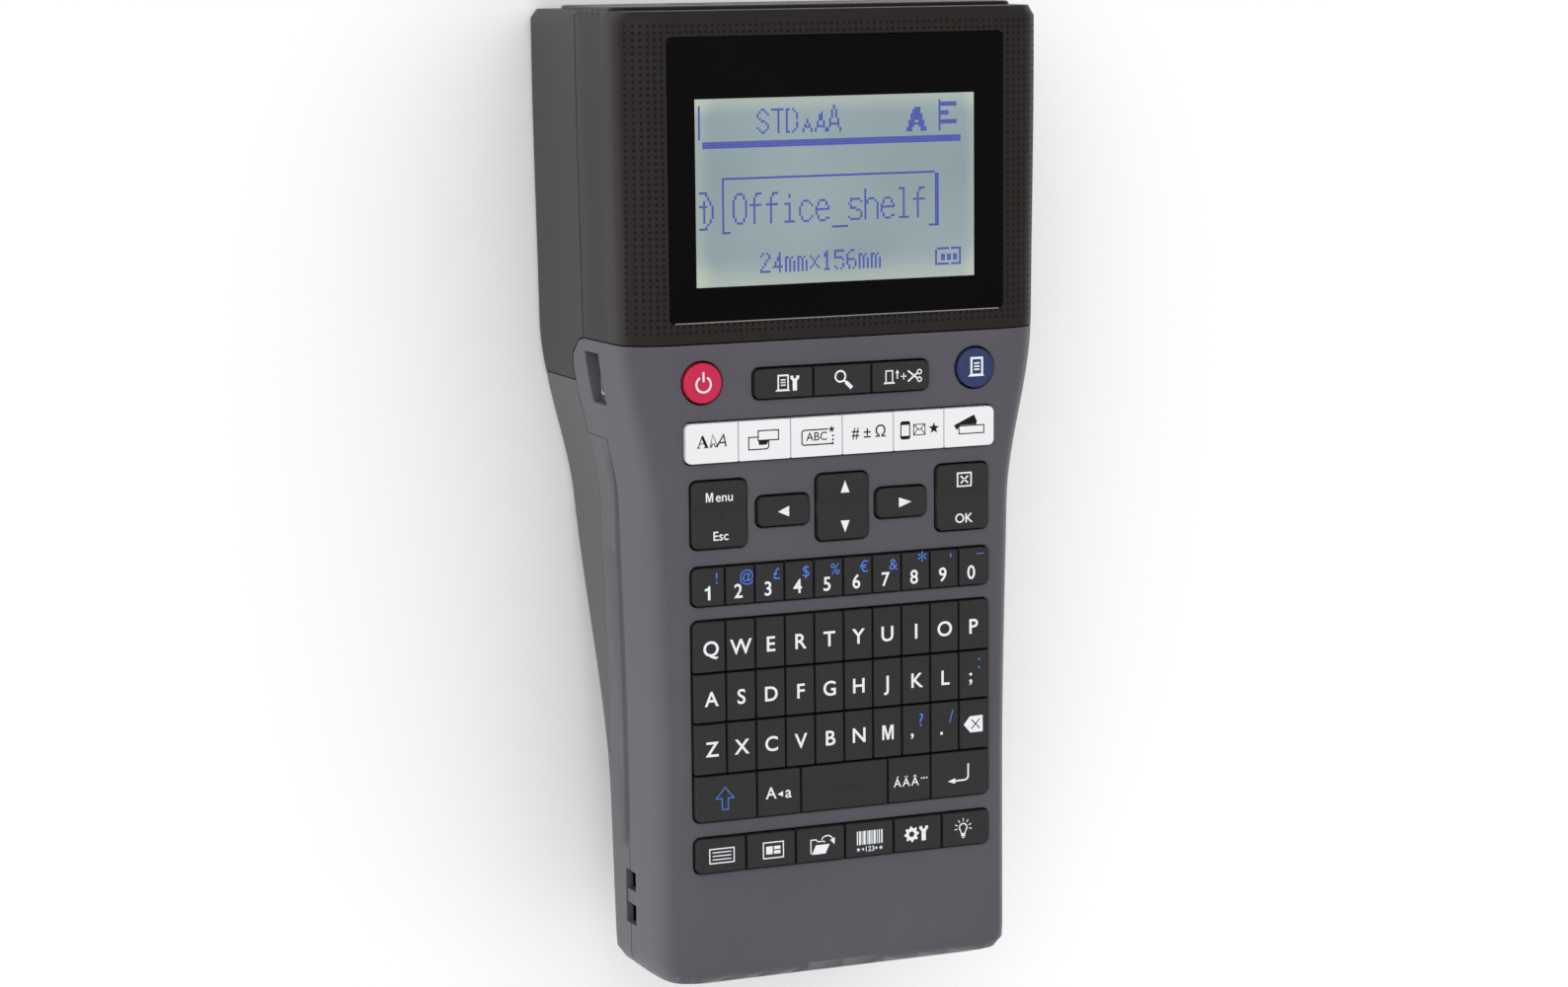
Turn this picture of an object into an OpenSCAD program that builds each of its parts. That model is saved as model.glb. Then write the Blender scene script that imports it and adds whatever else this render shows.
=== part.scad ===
// Hand-held label maker: keyboard grip below a deep display head, tape bay in the back.
// Lies on its back: +Z out of the keyboard, +Y towards the display end, +X to the user's right.

/* [Body] */
// width of the display head
head_w = 116; // [100:0.5:130]
// overall length
body_l = 243.2; // [225:0.2:260]
// thickness of the head
head_d = 64; // [60:0.5:72]
// width of the grip
grip_w = 96; // [94:0.5:104]
// thickness of the grip near its lower end
grip_d = 40.5; // [38:0.5:46]
// wall thickness of the shells
wall = 2; // [1.6:0.1:2.6]
// gap left at the shell seams
seam = 0.3; // [0.2:0.05:0.5]
// rounding of the lower end
end_r = 4.5; // [2:0.5:7]

/* [Seams] */
// where the black display bezel meets the grey front shell
bezel_y = 40; // [36:0.5:42]
// where the tape cover meets the battery cover
back_seam_y = 28.3; // [24:0.5:32]
// lower end of the battery cover
battery_end_y = -68; // [-76:1:-60]
// depth of the seam round the head
head_seam_d = 28.5; // [26:0.5:31]
// depth of the seam along the grip
grip_seam_d = 25.5; // [23:0.5:27]
// depth where the covers start on the sides
cover_seam_d = 38.8; // [37:0.2:41]
// upper end of the grip seam
seam_top_y = 14.7; // [10:0.5:18]

/* [Display] */
// window width
window_w = 89.7; // [84:0.1:92]
// window height
window_h = 69.3; // [64:0.1:72]
// centre of the window along the body
window_y = 79.75; // [76:0.25:82]
// window thickness
window_t = 1.3; // [1:0.1:1.6]
// visible screen width
screen_w = 74.7; // [70:0.1:76]
// visible screen height
screen_h = 45.75; // [42:0.25:48]
// centre of the screen along the body
screen_y = 76.6; // [74:0.1:79]

/* [Keys] */
// how far the key tops stand above the face
key_up = 1.2; // [0.8:0.1:1.6]
// key travel
key_travel = 0.8; // [0.5:0.1:0.9]
// gap round each key block
key_gap = 0.35; // [0.25:0.05:0.5]
// gap between neighbouring keys
key_split = 0.4; // [0.3:0.05:0.6]
// pitch of the letter keys
letter_pitch = 7.94; // [7.6:0.01:8.1]
// width of the letter block
letter_w = 80.6; // [78:0.1:82]
// diameter of the two round keys
round_key_d = 10; // [9:0.1:11]
// distance of the round keys from the middle
round_key_x = 36.8; // [35:0.1:38]
// row of the round keys
round_key_y = 30.5; // [29:0.1:32]

/* [Tape drive] */
// gear module
gear_m = 0.6; // [0.5:0.05:0.6]
// motor pinion teeth
pinion_n = 12; // [12:1:14]
// idler teeth
idler_n = 48; // [44:1:50]
// platen gear teeth
platen_n = 24; // [20:1:26]
// take-up gear teeth
takeup_n = 48; // [44:1:48]
// platen roller diameter
roller_d = 8; // [7:0.1:8.4]
// radial running clearance of the shafts
run_gap = 0.05; // [0.03:0.01:0.08]
// cutter gear teeth
cutter_n = 16; // [14:1:18]
// cutter sector teeth for a whole turn
sector_n = 48; // [44:1:48]

/* [Tape and cells] */
// cassette width
cassette_w = 67; // [64:0.5:68]
// cassette length
cassette_l = 54; // [50:0.5:56]
// cassette thickness
cassette_t = 31; // [29:0.5:31.5]
// tape width
tape_w = 24; // [18:1:24]
// diameter of the full tape roll
tape_roll_d = 44; // [36:1:45]
// cell diameter
cell_d = 14.4; // [14:0.1:14.5]
// cell length
cell_l = 50.2; // [49:0.1:50.5]

/* [Hidden] */
$fn = 48;

// ---- body outline ----
top_y = body_l / 2 - 1;
low_y = -body_l / 2;
face_z = head_d;
e = 0.02;

function ease(t) = let (c = max(0, min(1, t))) c * c * (3 - 2 * c);
function mix(a, b, t) = a + (b - a) * t;
// 1 in the head, 0 in the grip
function head_part(y) = 0.8 * ease((y + 4) / 46) + 0.2 * ease((y + 75) / 105);
function half_w(y) = mix(grip_w / 2, head_w / 2, head_part(y))
  - 0.9 * (1 - ease((y - 30) / 80)) * ease((y + 4) / 46);
function depth(y) = mix(grip_d + (y + 94) * 0.07, head_d, ease((y + 80) / 100));
// roll of the front edges: [distance in from the side, depth]
function roll(y) = let (h = head_part(y)) [
  [mix(9, 13.2, h), 0],
  [mix(5.6, 8.4, h), mix(0.55, 0.75, h)],
  [mix(3.6, 5.6, h), mix(1.45, 1.7, h)],
  [mix(2.4, 3.7, h), mix(2.7, 3.0, h)],
  [mix(1.3, 2.2, h), mix(4.8, 4.8, h)],
  [mix(0.6, 1.3, h), mix(8, 7.6, h)],
  [mix(0.25, 0.9, h), mix(12, 14, h)],
  [0, mix(20, 27.5, h)]];
function side_pts(y, i) = let (w = half_w(y) - i, d = depth(y) - i)
  concat([for (p = roll(y)) [w - p[0], face_z - i - p[1]]],
    [[w, face_z - d + 3.2],
     [w - 0.35, face_z - d + 1.6],
     [w - 1.3, face_z - d + 0.5],
     [w - 3.2, face_z - d + 0.06],
     [w - 9, face_z - d]]);
function ring(y, i) = let (s = side_pts(y, i), n = len(s))
  concat(s, [for (k = [n - 1:-1:0]) [-s[k][0], s[k][1]]]);

module slice(y, i) {
  translate([0, y + 0.005, 0]) rotate([90, 0, 0]) linear_extrude(height = 0.01) polygon(ring(y, i));
}
// solid body between the listed stations, drawn in by i
module loft(ys, i) {
  for (k = [0:len(ys) - 2]) hull() {
    slice(ys[k], i);
    slice(ys[k + 1], i);
  }
}
// rounded lower end
module low_end(i) {
  ys = [0, 0.12, 0.45, 1];
  for (k = [0:2]) hull() for (j = [k, k + 1]) {
    t = ys[j];
    slice_in(low_y + i + end_r * t, i, end_r * (1 - sqrt(max(0, 1 - pow(1 - t, 2)))));
  }
}
module slice_in(y, i, r) {
  c = (face_z + (face_z - depth(y))) / 2;
  kx = (half_w(y) - i - r) / (half_w(y) - i);
  kz = (depth(y) / 2 - i - r) / (depth(y) / 2 - i);
  translate([0, y + 0.005, 0]) rotate([90, 0, 0]) linear_extrude(height = 0.01)
    polygon([for (p = ring(y, i)) [p[0] * kx, c + (p[1] - c) * kz]]);
}
// rounded upper rim
module top_end(i) {
  hull() {
    slice_in(top_y - i - 2, i, 0.02);
    slice_in(top_y - i - 1.38, i, 0.02);
    slice_in(top_y - i - 0.45, i, 0.35);
    slice_in(top_y - i, i, 1.3);
  }
}
grip_st = [-117.1, -105, -94, -84, -76, -68, -60, -52, -44, -36, -28, -20, -12, -5,
  1, 6, 11, 16, 21, 26, 31, 36, 41];
head_st = [24, 28, 32, 36, 41, 48, 60, 78, 96, 110, 119.2];

module grip_solid(i) {
  low_end(i);
  loft([for (y = grip_st) y <= -117 ? low_y + i + end_r : y], i);
}
module head_solid(i) {
  loft([for (y = head_st) y > 119 ? top_y - i - 1.4 : y], i);
  top_end(i);
}
// a region seen from the side, points as [y, z]
module side_region(pts) {
  translate([-80, 0, 0]) rotate([90, 0, 90]) linear_extrude(height = 160) polygon(pts);
}

g = seam / 2;
head_seam_z = face_z - head_seam_d;
grip_seam_z = face_z - grip_seam_d;
cover_seam_z = face_z - cover_seam_d;
ear_y = bezel_y - 0.8;
ear_z = head_seam_z - 3.5;

// ---- small shapes ----
module rounded(w, h, r) {
  square([w - 2 * r, h], center = true);
  square([w, h - 2 * r], center = true);
  for (x = [-1, 1], y = [-1, 1]) translate([x * (w / 2 - r), y * (h / 2 - r)]) circle(r);
}
module block(x0, x1, y0, y1, z0, z1) {
  translate([x0, y0, z0]) cube([x1 - x0, y1 - y0, z1 - z0]);
}
module plate(w, h, r, z0, z1) {
  translate([0, 0, z0]) linear_extrude(height = z1 - z0) rounded(w, h, r);
}

// ---- keys ----
key_low = face_z - 3.3;
key_high = face_z + key_up;
module key_at(x0, x1, y0, y1, r) {
  translate([(x0 + x1) / 2, (y0 + y1) / 2, 0]) plate(x1 - x0, y1 - y0, r, key_low, key_high);
}
// boxes of the key blocks: [x0, x1, y0, y1]
top_box = [-23.3, 23.7, 25.8, 33.2];
white_box = [-41.7, 41.7, 10.7, 20.7];
menu_box = [-40.2, -25.6, -10.5, 6.2];
left_box = [-22.8, -8.9, -6, 1.5];
updown_box = [-6.8, 7.1, -10.6, 6.0];
right_box = [9.3, 23.0, -6, 1.5];
ok_box = [25.9, 40.2, -10.4, 6.3];
digit_box = [-letter_w / 2, letter_w / 2, -24.7, -15.2];
letter_box = [-letter_w / 2, letter_w / 2, -79, -28.6];
fn_box = [-letter_w / 2, letter_w / 2, -92, -83.3];
key_boxes = [top_box, white_box, menu_box, left_box, updown_box, right_box, ok_box,
  digit_box, letter_box, fn_box];
row_ys = [-28.6, -41.5, -54.1, -67.2, -79];

module key_slot(b) {
  translate([(b[0] + b[1]) / 2, (b[2] + b[3]) / 2, 0])
    plate(b[1] - b[0] + 2 * key_gap, b[3] - b[2] + 2 * key_gap, 2, face_z - wall - 1, face_z + 1);
}
// key number k of n across a block
module split_key(b, k, n) {
  p = (b[1] - b[0]) / n;
  x0 = b[0] + k * p + (k == 0 ? 0 : key_split / 2);
  x1 = b[0] + (k + 1) * p - (k == n - 1 ? 0 : key_split / 2);
  key_at(x0, x1, b[2], b[3], 1.1);
}
module letter_row(k) {
  y1 = row_ys[k] - (k == 0 ? 0 : key_split / 2);
  y0 = row_ys[k + 1] + (k == 3 ? 0 : key_split / 2);
  key_row(letter_box[0], letter_box[1], y0, y1);
}
module key_row(x0, x1, y0, y1) {
  difference() {
    key_at(x0, x1, y0, y1, 1.1);
    for (j = [-4:4]) block(j * letter_pitch - key_split / 2, j * letter_pitch + key_split / 2,
      y0 - 1, y1 + 1, face_z - 1.2, key_high + 1);
  }
}
module round_key(x) {
  translate([x, round_key_y, key_low]) cylinder(d = round_key_d, h = key_high - key_low);
}

// ---- gears ----
function tooth_pts(n, m, k) = let (rp = n * m / 2, a = 360 / n, c = k * a, q = 90 / n)
  [for (p = [[-1.25 * m, -1.55], [-0.1 * m, -0.98], [0.9 * m, -0.42],
             [0.9 * m, 0.42], [-0.1 * m, 0.98], [-1.25 * m, 1.55]])
    [(rp + p[0]) * cos(c + p[1] * q * 0.93), (rp + p[0]) * sin(c + p[1] * q * 0.93)]];
module gear2d(n, m, phase) {
  rotate(phase) polygon([for (k = [0:n - 1]) each tooth_pts(n, m, k)]);
}
function gap_of(n1, n2) = (n1 + n2) * gear_m / 2 + 0.08;
plate_z = 46;
plate_t = 2.4;
gear_z = plate_z + plate_t + 0.8;
gear_h = 3.6;
pinion_p = [-42, 50];
idler_a = 74;
idler_p = pinion_p + gap_of(pinion_n, idler_n) * [cos(idler_a), sin(idler_a)];
platen_a = 68;
platen_p = idler_p + gap_of(idler_n, platen_n) * [cos(platen_a), sin(platen_a)];
takeup_a = -6;
takeup_p = idler_p + gap_of(idler_n, takeup_n) * [cos(takeup_a), sin(takeup_a)];
// a gear meshing with a tooth of the other that sits d degrees before the line of centres
pinion_ph = idler_a;
idler_ph = idler_a + 180 + 180 / idler_n;
function follow_ph(a, n) = let (p = 360 / idler_n, d = (a - idler_ph) - p * floor((a - idler_ph) / p))
  a + 180 + d * idler_n / n + 180 / n;
shaft_r = 1.5;
tape_x = platen_p[0] + roller_d / 2 + 0.15;
tape_mid_z = plate_z - 1.6 - cassette_t / 2;
tape_lo_z = tape_mid_z - tape_w / 2;
tape_hi_z = tape_mid_z + tape_w / 2;

// cassette position
cas_x = 51 - cassette_w / 2;
cas_y = 72;
cas_hi = plate_z - 1.6;
cas_lo = cas_hi - cassette_t;
roll_p = [cas_x + cassette_w / 2 - tape_roll_d / 2 - 2.4, cas_y];

// cutter
cut_y = 109;
cut_pivot = [tape_x + 8, 11];
sector_r = sector_n * gear_m / 2;
cut_a = 184;
cut_gear_p = cut_pivot + ((sector_n + cutter_n) * gear_m / 2 + 0.08) * [cos(cut_a), sin(cut_a)];

// cells
cell_z = grip_seam_z - 2.4 - cell_d / 2;
cell_y = -20;
cell_pitch = cell_d + 0.1;

// case screws
screw_x = 36;
screw_y = -106;

// strap slot
slot_y = -102.9;
slot_l = 13.7;
slot_z0 = face_z - 28.5;
slot_z1 = face_z - 21.7;
module strap_cut() {
  block(-60, -41, slot_y - slot_l / 2, slot_y + slot_l / 2, slot_z0, slot_z1);
}
usb_y = 30.4;
usb_z = face_z - 22.2;
jack_y = 30.4;
module side_socket_cuts() {
  // shallow plug recesses on the left and right flanks
  block(-70, -half_w(usb_y) + 1.5, usb_y - 6.6, usb_y + 6.3, face_z - 30.2, face_z - 18.6);
  block(-70, -half_w(usb_y) + 6, usb_y - 4.1, usb_y + 4.1, usb_z - 1.9, usb_z + 1.9);
  translate([half_w(jack_y) - 6, jack_y, usb_z]) rotate([0, 90, 0]) cylinder(d = 8.4, h = 20);
}
groove_st = [-88, -60, -30, -15, -4, 4, 9, 13.2];
module side_grooves() {
  // long grip groove beside the seam on both flanks
  for (s = [-1, 1]) for (k = [0:len(groove_st) - 2]) hull() for (y = [groove_st[k], groove_st[k + 1]])
    translate([s * (half_w(y) + 1), y, grip_seam_z - 1.6]) cube([4.4, 0.02, 3.2], center = true);
}

// ---- shells ----
module front_shell() color([0.38, 0.37, 0.39]) difference() {
  union() {
    front_skin();
    for (x = [-1, 1]) translate([x * screw_x, screw_y, grip_seam_z + g])
      cylinder(d = 7, h = face_z - 1 - grip_seam_z);
  }
  for (b = key_boxes) key_slot(b);
  for (x = [-1, 1]) translate([x * round_key_x, round_key_y, face_z - 10])
    cylinder(d = round_key_d + 1, h = 20);
  for (x = [-1, 1]) translate([x * screw_x, screw_y, 0]) cylinder(d = 3.2, h = face_z - 4);
  strap_cut();
  side_socket_cuts();
}
module front_skin() intersection() {
  difference() {
    grip_solid(0);
    grip_solid(wall);
  }
  side_region([[low_y - 5, face_z + 5], [bezel_y - g, face_z + 5], [bezel_y - g, head_seam_z],
      [ear_y - g, ear_z], [ear_y - 4, cover_seam_z + g + 1.2], [ear_y - 8, cover_seam_z + g],
      [seam_top_y, cover_seam_z + g], [seam_top_y, grip_seam_z + g], [low_y - 5, grip_seam_z + g]]);
}
module display_bezel() color([0.17, 0.15, 0.14]) difference() {
  intersection() {
    difference() {
      head_solid(0);
      head_solid(wall);
    }
    side_region([[bezel_y + g, face_z + 5], [top_y + 5, face_z + 5], [top_y + 5, head_seam_z + g],
      [bezel_y + g, head_seam_z + g]]);
  }
  translate([0, window_y, 0]) plate(window_w, window_h, 1.4, face_z - window_t - 0.1, face_z + 1);
  translate([0, window_y, 0]) plate(window_w - 6, window_h - 6, 1, face_z - 8, face_z + 1);
  exit_room();
}
module exit_room() {
  block(-54.3, 54.3, top_y - 6, top_y + 5, face_z - 52.3, face_z - 12.7);
}
module display_window() color([0.06, 0.05, 0.05])
  translate([0, window_y, 0]) plate(window_w - 0.2, window_h - 0.2, 1.3, face_z - window_t, face_z);
module lcd_module() color([0.6, 0.68, 0.68]) {
  block(-screen_w / 2 - 3, screen_w / 2 + 3, screen_y - screen_h / 2 - 5, screen_y + screen_h / 2 + 5,
    face_z - window_t - 5.2, face_z - window_t - 0.15);
}
module rear_shell() color([0.45, 0.44, 0.46]) difference() {
  union() {
    intersection() {
      difference() {
        grip_solid(0);
        grip_solid(wall);
      }
      side_region([[low_y - 5, -5], [battery_end_y - g, -5], [battery_end_y - g, cover_seam_z - g],
        [seam_top_y - seam, cover_seam_z - g], [seam_top_y - seam, grip_seam_z - g],
        [low_y - 5, grip_seam_z - g]]);
    }
    // battery bay floor
    block(-grip_w / 2 + 1.2, grip_w / 2 - 1.2, low_y + 3, seam_top_y - seam,
      grip_seam_z - 2.1, grip_seam_z - 0.6);
    // bay end wall
    block(-grip_w / 2 + 1.5, grip_w / 2 - 1.5, cell_y - cell_l / 2 - 5.2, cell_y - cell_l / 2 - 3.8,
      cover_seam_z, grip_seam_z - 1);
  }
  side_grooves();
  strap_cut();
  for (x = [-1, 1]) translate([x * screw_x, screw_y, 0]) {
    translate([0, 0, -1]) cylinder(d = 3.4, h = 60);
    translate([0, 0, -1]) cylinder(d = 6.4, h = face_z - depth(screw_y) + 2.1);
  }
}
module cassette_cover() color([0.2, 0.18, 0.17]) difference() {
  union() {
    intersection() {
      difference() {
        head_solid(0);
        head_solid(wall);
      }
      side_region([[back_seam_y + g, -5], [top_y + 5, -5], [top_y + 5, head_seam_z - g],
        [bezel_y + g, head_seam_z - g], [ear_y + g, ear_z], [ear_y - 4 + seam, cover_seam_z + 1],
        [ear_y - 8 + seam, cover_seam_z - g], [back_seam_y + g, cover_seam_z - g]]);
    }
    // ribs that hold the cassette down
    for (x = [-2, 20, 42]) block(x, x + 1.6, 48, 96, wall - 0.5, cas_lo - 0.3);
  }
  exit_room();
  translate([31.8, 84, -1]) linear_extrude(height = 6) rounded(18.4, 12.4, 2);
}
module cover_window() color([0.3, 0.32, 0.34])
  translate([31.8, 84, 0]) plate(18, 12, 1.8, 0.4, wall);
module battery_cover() color([0.37, 0.34, 0.33]) intersection() {
  difference() {
    grip_solid(0);
    grip_solid(wall);
  }
  side_region([[battery_end_y + g, -5], [back_seam_y - g, -5], [back_seam_y - g, cover_seam_z - g],
    [battery_end_y + g, cover_seam_z - g]]);
}
module tape_exit_block() color([0.15, 0.13, 0.13]) difference() {
  union() {
    translate([0, body_l / 2 - 5.5, face_z - 32.5]) rotate([-90, 0, 0])
      linear_extrude(height = 5.5) rounded(108, 39, 3);
    // guide behind the slot
    block(tape_x - 5, tape_x - 1.6, top_y - 9, top_y - 4, tape_lo_z - 2, tape_hi_z + 2);
  }
  block(tape_x - 1.5, tape_x + 1.5, top_y - 12, top_y + 5, tape_lo_z - 1, tape_hi_z + 1);
  block(-60, tape_x - 8, top_y - 12, body_l / 2 - 2.2, 0, 80);
  block(tape_x + 8, 60, top_y - 12, body_l / 2 - 2.2, 0, 80);
}
module strap_bar() color([0.42, 0.41, 0.43]) {
  block(-grip_w / 2 + 0.3, -grip_w / 2 + 3.6, slot_y - 1.75, slot_y + 1.75, slot_z0 + 0.05, slot_z1 - 0.05);
}
module case_screws() color([0.7, 0.7, 0.72])
  for (x = [-1, 1]) translate([x * screw_x, screw_y, face_z - depth(screw_y)]) difference() {
    union() {
      translate([0, 0, 0.2]) cylinder(d = 5.6, h = 0.8);
      translate([0, 0, 0.9]) cylinder(d = 3, h = 22);
    }
    for (a = [0, 90]) rotate(a) translate([-1.6, -0.4, 0]) cube([3.2, 0.8, 0.7]);
  }

// ---- keys, one module each ----
module power_key() color([0.81, 0.16, 0.32]) round_key(-round_key_x);
module print_key() color([0.2, 0.27, 0.43]) round_key(round_key_x);
module preview_key() color([0.23, 0.22, 0.23]) split_key(top_box, 0, 3);
module search_key() color([0.23, 0.22, 0.23]) split_key(top_box, 1, 3);
module feed_cut_key() color([0.23, 0.22, 0.23]) split_key(top_box, 2, 3);
module style_key() color([0.92, 0.92, 0.93]) split_key(white_box, 0, 6);
module layout_key() color([0.92, 0.92, 0.93]) split_key(white_box, 1, 6);
module text_frame_key() color([0.92, 0.92, 0.93]) split_key(white_box, 2, 6);
module symbol_key() color([0.92, 0.92, 0.93]) split_key(white_box, 3, 6);
module icon_key() color([0.92, 0.92, 0.93]) split_key(white_box, 4, 6);
module label_type_key() color([0.92, 0.92, 0.93]) split_key(white_box, 5, 6);
module menu_key() color([0.23, 0.22, 0.23]) split_key(menu_box, 0, 1);
module left_key() color([0.23, 0.22, 0.23]) split_key(left_box, 0, 1);
module up_down_key() color([0.23, 0.22, 0.23]) split_key(updown_box, 0, 1);
module right_key() color([0.23, 0.22, 0.23]) split_key(right_box, 0, 1);
module ok_key() color([0.23, 0.22, 0.23]) split_key(ok_box, 0, 1);
module digit_row() color([0.23, 0.22, 0.23]) key_row(digit_box[0], digit_box[1], digit_box[2], digit_box[3]);
module letter_row_1() color([0.23, 0.22, 0.23]) letter_row(0);
module letter_row_2() color([0.23, 0.22, 0.23]) letter_row(1);
module letter_row_3() color([0.23, 0.22, 0.23]) letter_row(2);
module bottom_row() color([0.23, 0.22, 0.23]) difference() {
  key_at(letter_box[0], letter_box[1], row_ys[4], row_ys[3] - key_split / 2, 1.1);
  for (x = [-23.8, -11.9, 11.9, 23.8]) block(x - key_split / 2, x + key_split / 2,
    row_ys[4] - 1, row_ys[3] + 1, face_z - 1.2, key_high + 1);
}
module line_key() color([0.23, 0.22, 0.23]) split_key(fn_box, 0, 6);
module block_key() color([0.23, 0.22, 0.23]) split_key(fn_box, 1, 6);
module file_key() color([0.23, 0.22, 0.23]) split_key(fn_box, 2, 6);
module barcode_key() color([0.23, 0.22, 0.23]) split_key(fn_box, 3, 6);
module setup_key() color([0.23, 0.22, 0.23]) split_key(fn_box, 4, 6);
module light_key() color([0.23, 0.22, 0.23]) split_key(fn_box, 5, 6);

// ---- electronics ----
sheet_z = key_low - key_travel - 0.35;
module keypad_sheet() color([0.3, 0.3, 0.32])
  block(-42.5, 42.5, -94, 35, sheet_z - 1.2, sheet_z);
module main_board() color([0.1, 0.35, 0.2]) {
  block(-42, 42, -95, 36, sheet_z - 3, sheet_z - 1.3);
  block(-20, 0, -60, -40, sheet_z - 6, sheet_z - 2.9);
  block(10, 24, -40, -26, sheet_z - 5, sheet_z - 2.9);
}
module usb_socket() color([0.75, 0.75, 0.77]) difference() {
  block(-half_w(usb_y) + 1.2, -half_w(usb_y) + 9, usb_y - 3.9, usb_y + 3.9, usb_z - 1.7, usb_z + 1.7);
  block(-half_w(usb_y) + 1, -half_w(usb_y) + 7, usb_y - 3.5, usb_y + 3.5, usb_z - 1.3, usb_z + 1.3);
}
module power_jack() color([0.1, 0.1, 0.1]) translate([half_w(jack_y) - 11, jack_y, usb_z]) rotate([0, 90, 0])
  difference() {
    cylinder(d = 8, h = 9.6);
    translate([0, 0, 2]) difference() {
      cylinder(d = 5.6, h = 9);
      cylinder(d = 1.7, h = 7);
    }
  }

// ---- tape drive ----
module bearing(p) {
  translate([p[0], p[1], plate_z - 3]) cylinder(r = shaft_r + run_gap, h = 10);
}
module chassis() color([0.13, 0.13, 0.14]) difference() {
  union() {
    block(-52, 52, 43, 113.5, plate_z, plate_z + plate_t);
    // spigots to the bezel side
    for (x = [-48, 48], y = [46, 111]) translate([x, y, plate_z + plate_t - e]) cylinder(d = 5, h = 6);
    // walls either side of the tape path
    block(-50, -47.5, 66, 113.5, 16, plate_z + e);
    // lower bearing arm of the platen
    block(-48, platen_p[0] + 3.5, platen_p[1] - 4, platen_p[1] + 4, 12.4, 14.6);
    block(-50, -47.5, platen_p[1] - 4, platen_p[1] + 4, 12.4, 20);
    // cutter pedestal
    block(cut_pivot[0] - 3, cut_pivot[0] + 6, cut_y + 1.6, cut_y + 4.4, cut_pivot[1] - 4, plate_z + e);
    block(cut_gear_p[0] - 4, cut_gear_p[0] + 4, cut_y + 1.6, cut_y + 4.4, cut_gear_p[1] - 4, 16);
    block(-50, cut_gear_p[0] + 4, cut_y + 1.6, cut_y + 4.4, 13, 17);
    block(-50, -47.5, cut_y + 1.6, cut_y + 4.4, 13, 20);
  }
  bearing(pinion_p);
  bearing(idler_p);
  bearing(platen_p);
  translate([takeup_p[0], takeup_p[1], plate_z - 3]) cylinder(r = 2 + run_gap, h = 10);
  translate([platen_p[0], platen_p[1], 10]) cylinder(r = shaft_r + run_gap, h = 8);
  translate([arm_p[0], arm_p[1], plate_z - 3]) cylinder(r = shaft_r + run_gap, h = 10);
  translate([cut_pivot[0], cut_y, cut_pivot[1]]) rotate([-90, 0, 0]) cylinder(r = shaft_r + run_gap, h = 9);
  translate([cut_gear_p[0], cut_y, cut_gear_p[1]]) rotate([-90, 0, 0]) cylinder(r = shaft_r + run_gap, h = 9);
}
module drive_motor() color([0.6, 0.6, 0.62]) difference() {
  translate([pinion_p[0], pinion_p[1], plate_z - 18]) cylinder(d = 21, h = 17.9);
  translate([pinion_p[0], pinion_p[1], plate_z - 12]) cylinder(r = shaft_r + run_gap, h = 20);
}
module motor_pinion() color([0.8, 0.7, 0.35]) translate([pinion_p[0], pinion_p[1], 0]) {
  translate([0, 0, gear_z]) linear_extrude(height = gear_h) gear2d(pinion_n, gear_m, pinion_ph);
  translate([0, 0, plate_z - 8]) cylinder(r = shaft_r, h = gear_z - plate_z + 8 + e);
}
module idler_gear() color([0.9, 0.9, 0.88]) translate([idler_p[0], idler_p[1], 0]) {
  translate([0, 0, gear_z]) linear_extrude(height = gear_h) gear2d(idler_n, gear_m, idler_ph);
  translate([0, 0, plate_z - 1.4]) cylinder(r = shaft_r, h = gear_z - plate_z + 1.4 + e);
}
module platen_gear() color([0.9, 0.9, 0.88]) translate([platen_p[0], platen_p[1], 0]) {
  translate([0, 0, gear_z]) linear_extrude(height = gear_h)
    gear2d(platen_n, gear_m, follow_ph(platen_a, platen_n));
  translate([0, 0, 12.8]) cylinder(r = shaft_r, h = gear_z - 12.8 + e);
}
module platen_roller() color([0.12, 0.12, 0.12]) translate([platen_p[0], platen_p[1], tape_lo_z - 0.8])
  difference() {
    cylinder(d = roller_d, h = tape_w + 1.6);
    translate([0, 0, -1]) cylinder(r = shaft_r, h = tape_w + 4);
  }
module takeup_gear() color([0.9, 0.9, 0.88]) translate([takeup_p[0], takeup_p[1], 0]) {
  translate([0, 0, gear_z]) linear_extrude(height = gear_h)
    gear2d(takeup_n, gear_m, follow_ph(takeup_a, takeup_n));
  translate([0, 0, plate_z - 1.4]) cylinder(r = 2, h = gear_z - plate_z + 1.4 + e);
  translate([0, 0, cas_lo + 4]) cylinder(r = 2.6, h = cassette_t - 6, $fn = 6);
  translate([0, 0, cas_hi - 3]) cylinder(r = 2, h = plate_z - cas_hi + 4);
}
arm_p = [tape_x + 3.2, platen_p[1] - 20];
module head_arm() color([0.7, 0.7, 0.72]) {
  block(tape_x + 1.9, tape_x + 4.2, arm_p[1] + 1, platen_p[1] + 7, tape_lo_z - 1, tape_hi_z + 1);
  translate([arm_p[0], arm_p[1], tape_lo_z - 1]) cylinder(r = 2.6, h = tape_w + 2);
  translate([arm_p[0], arm_p[1], tape_hi_z]) cylinder(r = shaft_r, h = plate_z + plate_t - tape_hi_z);
}
module print_head() color([0.85, 0.82, 0.72])
  block(tape_x + 0.15, tape_x + 1.9, platen_p[1] - 5, platen_p[1] + 5, tape_lo_z - 0.5, tape_hi_z + 0.5);
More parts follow.
